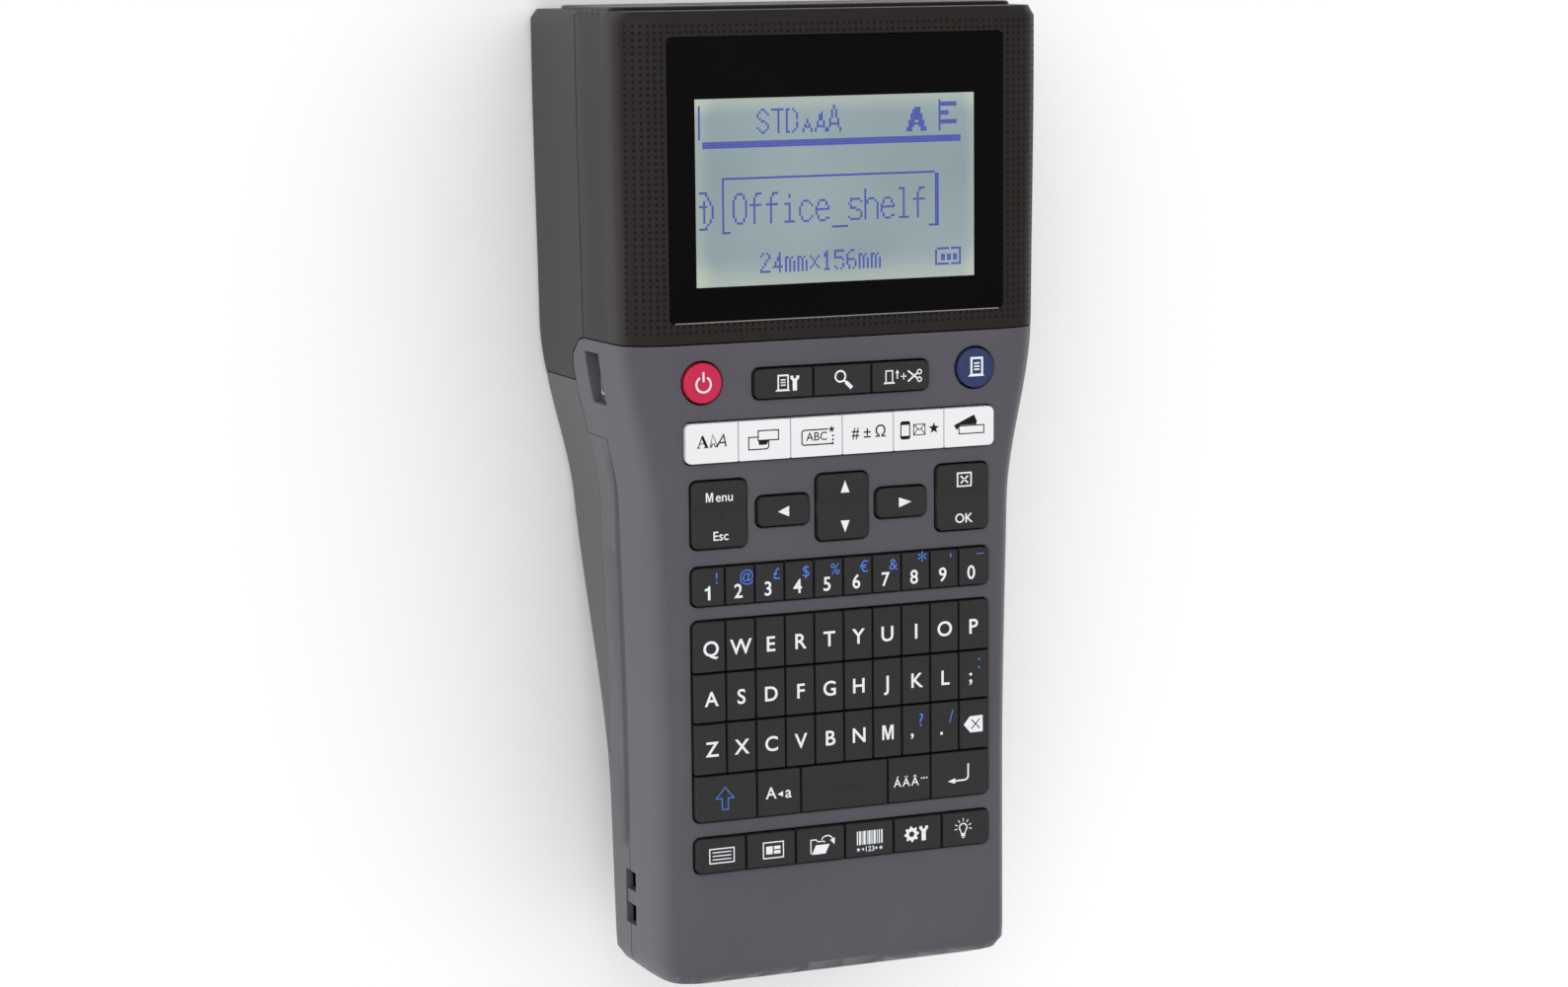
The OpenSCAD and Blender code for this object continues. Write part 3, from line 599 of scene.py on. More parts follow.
def lcdFinish(name, low, high):
    # reflective panel: cool grey-blue, paler and warmer close to its edges, with a faint dot lattice
    f = Finish(name, Specular_IOR_Level=0.5, Roughness=0.35, Coat_Roughness=0.05)
    f.shader.inputs["Coat Weight"].default_value = 0.6
    x, y, _ = f.axes()
    sideways = 1 - ((x - low[0] / 1000).between(0, 0.006) * (high[0] / 1000 - x).between(0, 0.004))
    upright = 1 - ((y - low[1] / 1000).between(0, 0.009) * (high[1] / 1000 - y).between(0, 0.006))
    border = (sideways * 0.35 + upright * 0.5).between(0.0, 1.0)
    slow = f.noise(22, 2.0, 0.5)
    field = f.blend(slow.between(0.3, 0.7), colour(137, 156, 161), colour(150, 168, 172))
    lattice = 0.00036
    across, along = [((q / lattice).fraction() - 0.5).size().between(0.4, 0.5) * 0.06 for q in (x, y)]
    dots = across + along
    field = f.blend(dots, field, colour(120, 138, 150))
    f.use("Base Color", f.blend(border, field, colour(190, 198, 182)))
    return f.material


def glassFinish(name):
    # black printed backing seen through clear plastic
    f = Finish(name, Specular_IOR_Level=0.5, Roughness=0.06)
    f.shader.inputs["Coat Weight"].default_value = 0.4
    slow = f.noise(16, 2.0, 0.5)
    f.use("Base Color", f.blend(slow, colour(13, 12, 12), colour(19, 18, 18)))
    f.bump(slow, 0.00003, 0.3)
    return f.material


finish = {
    "grip": mouldedPlastic("gripPlastic", colour(86, 84, 91), colour(93, 91, 98)),
    "rear": mouldedPlastic("rearPlastic", colour(88, 86, 91), colour(95, 92, 97)),
    "taupe": mouldedPlastic("batteryCoverPlastic", colour(86, 82, 83), colour(94, 90, 91), 0.45),
    "headBack": mouldedPlastic("tapeCoverPlastic", colour(45, 41, 38), colour(51, 47, 44), 0.45),
    "bezel": bezelPlastic("displayBezelPlastic"),
    "exit": mouldedPlastic("tapeExitPlastic", colour(38, 35, 34), colour(44, 41, 39), 0.4),
    "rubber": rubberFinish("keyRubber", colour(50, 48, 49), colour(58, 56, 57)),
    "white": mouldedPlastic(
        "whiteKeyPlastic", colour(232, 232, 235), colour(238, 238, 240), 0.3, 0.000008, 1800, 0.3
    ),
    "red": mouldedPlastic(
        "redKeyPlastic", colour(196, 30, 72), colour(206, 38, 80), 0.33, 0.00001, 2000, 0.2
    ),
    "blue": mouldedPlastic(
        "blueKeyPlastic", colour(46, 60, 100), colour(54, 68, 110), 0.33, 0.00001, 2000, 0.2
    ),
    "whiteInk": inkFinish("whiteLegend", colour(240, 244, 248)),
    "blueInk": inkFinish("blueLegend", colour(78, 128, 232)),
    "darkInk": inkFinish("darkLegend", colour(34, 34, 38)),
    "steel": metalFinish("drawnSteel", [0.62, 0.62, 0.63, 1], 0.28),
    "brass": metalFinish("platedContact", [0.8, 0.74, 0.58, 1], 0.25),
    "gear": mouldedPlastic("gearPlastic", colour(222, 222, 214), colour(232, 232, 226), 0.4),
    "inside": mouldedPlastic("innerPlastic", colour(30, 30, 31), colour(38, 38, 39), 0.5),
    "circuit": mouldedPlastic("circuitBoard", colour(16, 74, 44), colour(24, 92, 56), 0.35),
    "roller": rubberFinish("rollerRubber", colour(26, 26, 26), colour(34, 34, 34)),
    "ceramic": mouldedPlastic("headCeramic", colour(206, 196, 168), colour(216, 208, 184), 0.3),
    "tape": mouldedPlastic("labelTape", colour(236, 236, 236), colour(244, 244, 244), 0.28),
    "cell": mouldedPlastic(
        "cellJacket", colour(150, 112, 40), colour(176, 134, 56), 0.25, 0.000005, 900, 0.6
    ),
    # rim: pale ink for the painted highlight along the lower edge of the glass
    "glass": glassFinish("displayGlass"), "rim": inkFinish("glassEdgeHighlight", colour(150, 145, 142), 0.3),
    "lit": lcdFinish("displayPanel", (-37.8, 53.7), (36.9, 99.5)),
    "dots": inkFinish("displayDots", colour(70, 82, 182), 0.4),
    "clear": mouldedPlastic(
        "coverWindowPlastic", colour(70, 74, 78), colour(84, 88, 92), 0.12, 0.000002, 600, 1.0
    ),
}
print("finishes made")


# the five shells
def flank(points, sideways, side):
    # (y, z) points on one flank as (s, v) points
    p = densify(points, 1.6, closed=False)
    return np.stack([sAtHeight(p[:, 1], p[:, 0], sideways, side), p[:, 0]], 1)


def across(v, s0, s1, spacing=1.6):
    n = max(2, int(abs(s1 - s0) / spacing))
    return np.stack([np.linspace(s0, s1, n + 1), np.full(n + 1, v)], 1)


def chain(*pieces):
    # pieces of an outline end to end, without doubled points; also which piece each point came from
    pts = np.concatenate(pieces)
    owner = np.concatenate([np.full(len(p), k) for k, p in enumerate(pieces)])
    keep = np.hypot(*(pts - np.roll(pts, 1, 0)).T) > 1e-3
    return pts[keep], owner[keep]


def skinGrid(side, v0, v1, spacing=3.0):
    # inner points of a sheet: stations along the body, and dense samples round the section
    v = np.arange(v0, v1, spacing)
    i = np.clip(np.searchsorted(rows, v), 0, len(rows) - 1)
    arcs = skin[side]["arc"][i]
    take = np.arange(0, arcs.shape[1], 2)
    s = arcs[:, take]
    grid = np.stack([s, np.repeat(v[:, None], s.shape[1], 1)], -1).reshape(-1, 2)
    mirrored = grid * [-1, 1]
    return np.concatenate([grid, mirrored[grid[:, 0] > 0]])


def skinSheet(side, outer, holes, weight, fillet, lines=(), extra=None, v0=None, v1=None, holeFillet=None):
    inner = skinGrid(side, v0, v1)
    pts, drop, tris = fillSheet(outer, holes, fillet, weight, inner, lines, holeFillet)
    p = skinPoint(pts[:, 0], pts[:, 1], side)
    n = skinNormal(pts[:, 0], pts[:, 1], side)
    sunk = drop + (extra(p) if extra is not None else 0)
    if side == "back":
        tris = tris[:, ::-1]
    return p - n * sunk[:, None], n, p - n * (extra(p)[:, None] if extra is not None else 0), tris


def capSheet(outline, weight, y, fillet):
    # flat end of the body: (x, z) outline at y
    pts, drop, tris = fillSheet(outline, [], fillet, weight)
    facing = 1.0 if y > 0 else -1.0
    p = np.stack([pts[:, 0], np.full(len(pts), y) - facing * drop, pts[:, 1]], 1)
    base = np.stack([pts[:, 0], np.full(len(pts), y), pts[:, 1]], 1)
    n = np.zeros_like(p)
    n[:, 1] = facing
    return p, n, base, tris[:, ::-1] if facing > 0 else tris


def ringXZ(side, v, s0, s1):
    q = across(v, s0, s1)
    return skinPoint(q[:, 0], q[:, 1], side)[:, [0, 2]]


g = case["gap"]
slotY0, slotY1 = -109.75, -96.05
slotZ0, slotZ1 = faceZ - 28.5, faceZ - 21.7


def frontShell():
    gs, cs = gripSeamZ + g, coverSeamZ + g
    right = [
        (lowEnd, gs), (seamTopY, gs), (seamTopY, cs), (earY - 8, cs), (earY - 4, cs + 1.2),
        (earY - g, earZ), (bezelY - g, headSeamZ)
    ]
    left = [
        (bezelY - g, headSeamZ), (earY - g, earZ), (earY - 4, cs + 1.2), (earY - 8, cs), (seamTopY, cs),
        (seamTopY, gs), (slotY1, gs), (slotY1, slotZ1), (slotY0, slotZ1), (slotY0, gs), (lowEnd, gs)
    ]
    r, l = flank(right, 1, "front"), flank(left, -1, "front")
    outer, owner = chain(across(lowEnd, l[-1, 0], r[0, 0]), r, across(bezelY - g, r[-1, 0], l[0, 0]), l)
    weight = np.where((owner == 0) | (outer[:, 1] < lowEnd + 0.01), 0.0, 1.0)
    holes = []
    for box, radius in keyOpenings():
        q = densify(roundedBox(*box, radius, 8), 1.2)
        holes.append(np.stack([sAtX(q[:, 0], q[:, 1], "front"), q[:, 1]], 1))
    a = np.linspace(0, 2 * math.pi, 56, endpoint=False)
    for node in ("power_key", "print_key"):
        low, high = boxOf(node)
        cx, cy, r0 = (low[0] + high[0]) / 2, (low[1] + high[1]) / 2, (high[0] - low[0]) / 2 + 0.45
        x, y = cx + r0 * np.cos(a), cy + r0 * np.sin(a)
        holes.append(np.stack([sAtX(x, y, "front"), y], 1))
    port = densify(
        [
            (portBox[0], portBox[2]), (portBox[1], portBox[2]), (portBox[1], portBox[3]),
            (portBox[0], portBox[3])
        ],
        1.2
    )
    ring = np.stack([sAtHeight(port[:, 1], port[:, 0], -1, "front"), port[:, 0]], 1)
    holes.append(anticlockwise(ring))
    jack = np.stack(
        [
            case["socketY"] + case["jackRadius"] * np.cos(a),
            faceZ - case["jackDrop"] + case["jackRadius"] * np.sin(a)
        ],
        1
    )
    ring = np.stack([sAtHeight(jack[:, 1], jack[:, 0], 1, "front"), jack[:, 0]], 1)
    holes.append(anticlockwise(ring))
    main = skinSheet(
        "front", outer, holes, weight, case["edge"], v0=lowEnd, v1=bezelY, holeFillet=case["keyEdge"]
    )
    ends = ringXZ("front", lowEnd, l[-1, 0], r[0, 0])
    seam = densify([tuple(ends[-1]), tuple(ends[0])], 1.6, closed=False)
    outline, who = chain(ends, seam[1:-1])
    area = (outline[:, 0] * np.roll(outline[:, 1], -1) - outline[:, 1] * np.roll(outline[:, 0], -1)).sum()
    w = np.where(who == 1, 1.0, 0.0)
    if area < 0:
        outline, w = outline[::-1], w[::-1]
    cap = capSheet(outline, w, lowY, case["edge"])
    v, t = closedShell([main, cap], case["wall"])
    return makePiece("frontShell", v, t, finish["grip"], "case", "grey_shell")


def keyOpenings():
    gap = 0.35
    found = []
    for group in (
        ["preview_key", "search_key", "feed_cut_key"],
        ["style_key", "layout_key", "text_frame_key", "symbol_key", "icon_key", "label_type_key"],
        ["menu_key"], ["left_key"], ["up_down_key"], ["right_key"], ["ok_key"], ["digit_row"],
        ["letter_row_1", "letter_row_2", "letter_row_3", "bottom_row"],
        ["line_key", "block_key", "file_key", "barcode_key", "setup_key", "light_key"]
    ):
        boxes = [boxOf(n) for n in group]
        low, high = np.min([b[0] for b in boxes], 0), np.max([b[1] for b in boxes], 0)
        found.append(((low[0] - gap, high[0] + gap, low[1] - gap, high[1] + gap), 1.9))
    return found


portBox = (case["socketY"] - 6.6, case["socketY"] + 6.3, faceZ - 28.4, faceZ - 19.9)


def displayBezel():
    hs, v0 = headSeamZ + g, bezelY + g
    r = flank([(v0, hs), (topEnd, hs)], 1, "front")
    l = flank([(topEnd, hs), (v0, hs)], -1, "front")
    outer, _ = chain(across(v0, l[-1, 0], r[0, 0]), r, across(topEnd, r[-1, 0], l[0, 0]), l)
    weight = np.where(outer[:, 1] > topEnd - 0.01, 0.0, 1.0)
    low, high = boxOf("display_window")
    q = densify(roundedBox(low[0] - 0.15, high[0] + 0.15, low[1] - 0.15, high[1] + 0.15, 1.5, 8), 1.5)
    main = skinSheet("front", outer, [q], weight, case["edge"], v0=v0, v1=topEnd, holeFillet=0.2)
    ring = ringXZ("front", topEnd, r[-1, 0], l[0, 0])
    inside = densify(
        [
            (ring[-1][0], ring[-1][1]), (-54.3, hs), (-54.3, exitTop), (54.3, exitTop), (54.3, hs),
            tuple(ring[0])
        ],
        1.6, closed=False
    )
    outline, who = chain(ring, inside[1:-1])
    cap = capSheet(outline, np.where(who == 1, 1.0, 0.0), topY, case["edge"])
    v, t = closedShell([main, cap], case["wall"])
    return makePiece("displayBezel", v, t, finish["bezel"], "case", "black_shell")


exitTop, exitLow = faceZ - 12.7, faceZ - 52.3


def tapeCover():
    hs, cs = headSeamZ - g, coverSeamZ - g
    v0 = backSeamY + g
    up = [
        (v0, cs), (earY - 7.7, cs), (earY - 3.7, coverSeamZ + 1), (earY + g, earZ), (bezelY + g, hs),
        (topEnd, hs)
    ]
    r, l = flank(up, 1, "back"), flank(up[::-1], -1, "back")
    outer, _ = chain(across(v0, l[-1, 0], r[0, 0]), r, across(topEnd, r[-1, 0], l[0, 0]), l)
    weight = np.where(outer[:, 1] > topEnd - 0.01, 0.0, 1.0)
    low, high = boxOf("cover_window")
    q = densify(roundedBox(low[0] - 0.2, high[0] + 0.2, low[1] - 0.2, high[1] + 0.2, 2.0, 8), 1.5)
    hole = np.stack([sAtX(q[:, 0], q[:, 1], "back"), q[:, 1]], 1)
    main = skinSheet(
        "back", outer, [hole], weight, case["edge"], v0=v0, v1=topEnd, holeFillet=0.3, extra=coverMarks
    )
    ring = ringXZ("back", topEnd, l[0, 0], r[-1, 0])
    inside = densify(
        [tuple(ring[-1]), (54.3, hs), (54.3, exitLow), (-54.3, exitLow), (-54.3, hs), tuple(ring[0])], 1.6,
        closed=False
    )
    outline, who = chain(ring, inside[1:-1])
    cap = capSheet(outline, np.where(who == 1, 1.0, 0.0), topY, case["edge"])
    v, t = closedShell([main, cap], case["wall"])
    return makePiece("tapeCover", v, t, finish["headBack"], "tape_cover", "black_shell")


def coverMarks(p):
    # a shallow thumb hollow near the lower edge of the back
    back = (p[:, 2] < 10).astype(float)
    x, y = p[:, 0], p[:, 1]
    hollow = 0.7 * np.clip(1 - ((x / 15) ** 2 + ((y - 36.5) / 5.5) ** 2), 0, 1)
    return back * hollow


def batteryCover():
    cs = coverSeamZ - g
    v0, v1 = batteryEndY + g, backSeamY - g
    r = flank([(v0, cs), (v1, cs)], 1, "back")
    l = flank([(v1, cs), (v0, cs)], -1, "back")
    outer, _ = chain(across(v0, l[-1, 0], r[0, 0]), r, across(v1, r[-1, 0], l[0, 0]), l)
    bars = [
        np.stack([np.linspace(-17, 17, 30), np.full(30, y)], 1)
        for y in np.concatenate([[k - 0.5, k, k + 0.5] for k in latchBars])
    ]
    main = skinSheet("back", outer, [], None, case["edge"], v0=v0, v1=v1, lines=bars, extra=latchMarks)
    v, t = closedShell([main], case["wall"])
    return makePiece("batteryCover", v, t, finish["taupe"], "battery_cover", "taupe_cover")


latchBars = [14.0, 16.2, 18.4, 20.6, 22.8]


def latchMarks(p):
    # five short finger bars across the upper end of the battery cover, as grooves 0.5 deep
    x, y = p[:, 0], p[:, 1]
    row = sum(np.clip(1 - np.abs(y - k) / 0.5, 0, 1) for k in latchBars)
    return 0.5 * row * np.clip((16 - np.abs(x)) / 1.5, 0, 1) * (p[:, 2] < 30)


def rearShell():
    gs, cs = gripSeamZ - g, coverSeamZ - g
    vTop, vLow = seamTopY - 0.06, batteryEndY - g
    right = [(lowEnd, gs), (vTop, gs), (vTop, cs), (vLow, cs)]
    leftUp = [
        (vLow, cs), (vTop, cs), (vTop, gs), (slotY1, gs), (slotY1, slotZ0), (slotY0, slotZ0), (slotY0, gs),
        (lowEnd, gs)
    ]
    r, l = flank(right, 1, "back"), flank(leftUp, -1, "back")
    outer, _ = chain(across(lowEnd, l[-1, 0], r[0, 0]), r, across(vLow, r[-1, 0], l[0, 0]), l)
    weight = np.where((outer[:, 1] < lowEnd + 0.01) | (outer[:, 1] > vTop - 0.01), 0.0, 1.0)
    a = np.linspace(0, 2 * math.pi, 40, endpoint=False)
    holes = []
    for x0 in (-36, 36):
        x, y = x0 + 3.2 * np.cos(a), -106 + 3.2 * np.sin(a)
        holes.append(np.stack([sAtX(x, y, "back"), y], 1))
    lines = []
    along = np.linspace(-95.0, seamTopY - 1.2, 60)
    for side in (-1, 1):
        for shift in (-0.35, 0, 0.35):
            lines.append(flank([(y, float(grooveLow(y)) + shift) for y in along], side, "back"))
    main = skinSheet(
        "back", outer, holes, weight, case["edge"], v0=lowEnd, v1=vTop, lines=lines, extra=gripGroove
    )
    ends = ringXZ("back", lowEnd, l[-1, 0], r[0, 0])
    seam = densify([tuple(ends[-1]), tuple(ends[0])], 1.6, closed=False)
    outline, who = chain(ends, seam[1:-1])
    w = np.where(who == 1, 1.0, 0.0)
    area = (outline[:, 0] * np.roll(outline[:, 1], -1) - outline[:, 1] * np.roll(outline[:, 0], -1)).sum()
    if area < 0:
        outline, w = outline[::-1], w[::-1]
    cap = capSheet(outline, w, lowY, case["edge"])
    v, t = closedShell([main, cap], case["wall"])
    return makePiece("rearShell", v, t, finish["rear"], "case", "grey_shell")


def grooveLow(y):
    # lower edge of the groove, rising to the seam at its upper end
    return gripSeamZ - case["grooveHeight"] * (0.15 + 0.85 * ease((seamTopY - y) / 26))


def gripGroove(p):
    # long groove under the seam on both flanks, deeper towards the seam and running out at its ends
    y, z = p[:, 1], p[:, 2]
    edge = grooveLow(y)
    ends = ease((y + 91.5) / 4) * ease((seamTopY - 1 - y) / 6)
    rise = np.clip((z - edge) / np.maximum(gripSeamZ - edge, 0.3), 0, 1)
    return case["grooveDepth"] * ends * ease(
        (z - edge + 0.35) / 0.7
    ) * (0.45 + 0.9 * rise) * (np.abs(p[:, 0]) > 30)


frontShell()
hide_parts("front_shell")
print("front shell made")
displayBezel()
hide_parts("display_bezel")
tapeCover()
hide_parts("cassette_cover")
batteryCover()
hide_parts("battery_cover")
rearShell()
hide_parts("rear_shell")
print("shells made")


# keys
keyLook = {
    "corner": 1.1,  # rounding of the corners seen from above
    "fillet": 0.45,  # rounding of the top edge
    "dish": 0.12,  # how far a typing key is hollowed
    "saddle": 0.8,  # how far the tall keys dip across their middle
    "overlap": 0.06,  # small inset of a cap from its CAD box
}


def loopOfKey(box, radii, inset, count=6):
    # rounded box outline with its own radius at each corner, drawn in by inset
    x0, x1, y0, y1 = box
    a = np.linspace(0, math.pi / 2, count)
    out = []
    for (cx, cy, q), r in zip([(x1, y1, 0), (x0, y1, 1), (x0, y0, 2), (x1, y0, 3)], radii):
        sx, sy = (1, -1, -1, 1)[q], (1, 1, -1, -1)[q]
        rr = max(r - inset, 0.02)
        mx, my = cx - sx * (max(r, inset)), cy - sy * (max(r, inset))
        out.append(
            np.stack([mx + rr * np.cos(a + q * math.pi / 2), my + rr * np.sin(a + q * math.pi / 2)], 1)
        )
    loop = np.concatenate(out)
    # extra points along the long sides so a curved top stays smooth
    nxt = np.roll(loop, -1, 0)
    parts = []
    for k in range(4):
        seg = loop[k * count:(k + 1) * count]
        a0, b0 = seg[-1], nxt[(k + 1) * count - 1]
        t = np.linspace(0, 1, 10)[1:-1, None]
        parts += [seg, a0 + (b0 - a0) * t]
    return np.concatenate(parts)


def keyCap(box, radii, low, high, fillet, top):
    # wall, quarter-round edge and rings running in to the middle; top(x, y) is added to the height
    x0, x1, y0, y1 = box
    half = min(x1 - x0, y1 - y0) / 2 - 0.01
    t = np.radians(np.linspace(0, 90, 6))
    profile = [(0.0, low, 0.0)] + [
        (fillet * (1 - math.cos(k)), high - fillet * (1 - math.sin(k)), min(1, 0.3 + k / 1.6)) for k in t
    ]
    profile += [(fillet + (half - fillet) * k, high, 1.0) for k in (0.12, 0.3, 0.5, 0.75, 1.0)]
    rings = []
    for inset, z, share in profile:
        p = loopOfKey(box, radii, inset)
        rings.append(np.column_stack([p, z + share * top(p[:, 0], p[:, 1])]))
    n = len(rings[0])
    verts = np.concatenate(rings)
    k = np.arange(n)
    tris = []
    for r in range(len(rings) - 1):
        a, b = r * n + k, r * n + np.roll(k, -1)
        c, d = b + n, a + n
        tris += [np.stack([a, b, c], 1), np.stack([a, c, d], 1)]
    mid = verts[-n:].mean(0)
    verts = np.concatenate([verts, [mid, [mid[0], mid[1], low]]])
    last = (len(rings) - 1) * n
    tris.append(np.stack([last + k, last + np.roll(k, -1), np.full(n, len(verts) - 2)], 1))
    tris.append(np.stack([np.roll(k, -1), k, np.full(n, len(verts) - 1)], 1))
    return verts, np.concatenate(tris)


def joined(shapes):
    offset, vs, ts = 0, [], []
    for v, t in shapes:
        vs.append(v)
        ts.append(t + offset)
        offset += len(v)
    return np.concatenate(vs), np.concatenate(ts)


def dishTop(box, depth):
    # falls by depth x (1 - u squared) x (1 - v squared), u and v running from -1 to 1 over the key
    x0, x1, y0, y1 = box

    def top(x, y):
        u, v = (2 * x - x0 - x1) / (x1 - x0), (2 * y - y0 - y1) / (y1 - y0)
        return -depth * np.clip(1 - u**2, 0, 1) * np.clip(1 - v**2, 0, 1)

    return top


def saddleTop(box, depth):
    # dips across the middle: the two ends stand up and their outer edges fall away a little
    _, _, y0, y1 = box

    def top(x, y):
        v = (2 * y - y0 - y1) / (y1 - y0)
        return -depth * (1 - ease((np.abs(v) - 0.1) / 0.3)) - 0.25 * depth * ease((np.abs(v) - 0.75) / 0.25)

    return top


keyTop = {}


def keyPiece(name, node, cells, look, slotName, makeTop, fillet=None):
    # cells: list of (box, corner radii)
    low, high = boxOf(node)
    shapes = []
    for box, radii in cells:
        top = makeTop(box)
        keyTop.setdefault(node, []).append((box, top, high[2]))
        shapes.append(keyCap(box, radii, low[2], high[2], fillet or keyLook["fillet"], top))
    v, t = joined(shapes)
    piece = makePiece(name, v, t, finish[look], node, slotName, sharp=50)
    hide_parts(node)
    return piece


def stripRadii(k, n):
    # outer corners of a strip of n keys are round, the inner ones nearly square
    big, small = 1.5, 0.35
    right, left = (big if k == n - 1 else small), (big if k == 0 else small)
    return [right, left, left, right]


def inBox(node, inset=None):
    low, high = boxOf(node)
    e = keyLook["overlap"] if inset is None else inset
    return (low[0] + e, high[0] - e, low[1] + e, high[1] - e)


def addStrip(names, look, slotName, dish=0.12, fillet=None, inset=None):
    for k, node in enumerate(names):
        label = node.split("_")[0] + "".join(w.capitalize() for w in node.split("_")[1:])
        box = inBox(node)
        if inset is not None:
            tight = inBox(node, inset)
            box = (
                box[0] if k == 0 else tight[0], box[1] if k == len(names) - 1 else tight[1], box[2], box[3]
            )
        keyPiece(
            label, node, [(box, stripRadii(k, len(names)))], look, slotName, lambda b: dishTop(b, dish),
            fillet
        )


addStrip(["preview_key", "search_key", "feed_cut_key"], "rubber", "key_black")
addStrip(
    ["style_key", "layout_key", "text_frame_key", "symbol_key", "icon_key", "label_type_key"], "white",
    "key_white", 0.05, 0.28, -0.1
)
addStrip(
    ["line_key", "block_key", "file_key", "barcode_key", "setup_key", "light_key"], "rubber", "key_black"
)
for node, label in (("menu_key", "menuKey"), ("up_down_key", "upDownKey"), ("ok_key", "okKey")):
    keyPiece(
        label, node, [(inBox(node), [1.6] * 4)], "rubber", "key_black",
        lambda b: saddleTop(b, keyLook["saddle"]), 0.6
    )
for node, label in (("left_key", "leftKey"), ("right_key", "rightKey")):
    keyPiece(label, node, [(inBox(node), [1.6] * 4)], "rubber", "key_black", lambda b: dishTop(b, 0.2), 0.6)

letterPitch = 7.94


def rowCells(node, edges, topRow, bottomRow):
    x0, x1, y0, y1 = inBox(node)
    xs = [x0] + list(edges) + [x1]
    cells = []
    n = len(xs) - 1
    for k in range(n):
        a = xs[k] + (0 if k == 0 else 0.22)
        b = xs[k + 1] - (0 if k == n - 1 else 0.22)
        big, small = 1.5, 0.3
        cells.append((
            (a, b, y0, y1),
            [
                big if k == n - 1 and topRow else small, big if k == 0 and topRow else small,
                big if k == 0 and bottomRow else small, big if k == n - 1 and bottomRow else small
            ]
        ))
    return cells


tenEdges = [j * letterPitch for j in range(-4, 5)]
typing = [
    ("digit_row", "digitRow", tenEdges, True, True),
    ("letter_row_1", "letterRowTop", tenEdges, True, False),
    ("letter_row_2", "letterRowMiddle", tenEdges, False, False),
    ("letter_row_3", "letterRowLower", tenEdges, False, False),
    ("bottom_row", "bottomRow", [-23.8, -11.9, 11.9, 23.8], False, True)
]
for node, label, edges, isTop, isBottom in typing:
    keyPiece(
        label, node, rowCells(node, edges, isTop, isBottom), "rubber", "key_black",
        lambda b: dishTop(b, keyLook["dish"])
    )


def roundKey(node, label, look, slotName):
    # dome: height falls with the square of the radius, then a quarter-round edge
    low, high = boxOf(node)
    cx, cy, r = (low[0] + high[0]) / 2, (low[1] + high[1]) / 2, (high[0] - low[0]) / 2
    f = 0.6
    t = np.radians(np.linspace(0, 90, 7))
    rr = np.concatenate([[r], r - f * (1 - np.cos(t)), (r - f) * np.array([0.9, 0.7, 0.45, 0.2, 0.0])])
    zz = np.concatenate([
        [low[2]], high[2] - 0.25 - f * (1 - np.sin(t)),
        high[2] - 0.25 + 0.25 * (1 - np.array([0.9, 0.7, 0.45, 0.2, 0.0]) ** 2)
    ])
    a = np.linspace(0, 2 * math.pi, 73)
    verts = np.stack([cx + rr[:, None] * np.cos(a), cy + rr[:, None] * np.sin(a), zz[:, None] + 0 * a], -1)
    v, t2 = gridTris(verts)
    keyTop[node] = [(
        (cx - r, cx + r, cy - r, cy + r), lambda x, y: -0.25 * ((x - cx) ** 2 + (y - cy) ** 2) / r**2,
        high[2]
    )]
    piece = makePiece(label, v, t2, finish[look], node, slotName)
    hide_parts(node)


def gridTris(verts):
    n, m = verts.shape[:2]
    i, j = np.meshgrid(np.arange(n - 1), np.arange(m - 1), indexing="ij")
    a, b = (i * m + j).ravel(), (i * m + j + 1).ravel()
    c, d = b + m, a + m
    tris = np.concatenate([np.stack([a, b, c], 1), np.stack([a, c, d], 1)])
    return verts.reshape(-1, 3), tris


roundKey("power_key", "powerKey", "red", "key_red")
roundKey("print_key", "printKey", "blue", "key_blue")
print("keys made")


# legends on the keys
def line(points, width, closed=False):
    # band of constant width along the points, mitred
    p = np.asarray(points, float)
    if closed:
        m = leftOffset(p, np.full(len(p), width / 2)) - p
        left, right = p + m, p - m
        n = len(p)
        k = np.arange(n)
        q = np.roll(k, -1)
    else:
        d = np.diff(p, axis=0)
        d /= np.maximum(np.hypot(*d.T), 1e-9)[:, None]
        n1, n2 = np.concatenate([d[:1], d]), np.concatenate([d, d[-1:]])
        t = (n1 + n2) / np.maximum(1 + (n1 * n2).sum(1), 0.35)[:, None]
        m = np.stack([-t[:, 1], t[:, 0]], 1) * width / 2
        left, right = p + m, p - m
        n = len(p)
        k = np.arange(n - 1)
        q = k + 1
    v = np.concatenate([left, right])
    return v, np.concatenate([np.stack([k + n, q + n, q], 1), np.stack([k + n, q, k], 1)])


def blob(points):
    # filled outline
    p = np.asarray(points, float)
    tris = geometry.tessellate_polygon([[(x, y, 0) for x, y in p.tolist()]])
    t = np.array([list(k) for k in tris])
    a, b, c = p[t[:, 0]], p[t[:, 1]], p[t[:, 2]]
    area = (b - a)[:, 0] * (c - a)[:, 1] - (b - a)[:, 1] * (c - a)[:, 0]
    return p, np.where((area < 0)[:, None], t[:, ::-1], t)


def arc(cx, cy, r, a0=0, a1=360, n=28):
    a = np.radians(np.linspace(a0, a1, n))
    return np.stack([cx + r * np.cos(a), cy + r * np.sin(a)], 1)


def disc(cx, cy, r):
    return blob(arc(cx, cy, r, 0, 360, 25)[:-1])


def rect(x0, y0, x1, y1):
    return [(x0, y0), (x1, y0), (x1, y1), (x0, y1)]


def star(cx, cy, r, inner=0.42):
    a = np.radians(90 + 36 * np.arange(10))
    k = np.where(np.arange(10) % 2 == 0, r, r * inner)
    return blob(np.stack([cx + k * np.cos(a), cy + k * np.sin(a)], 1))


textCache = {}


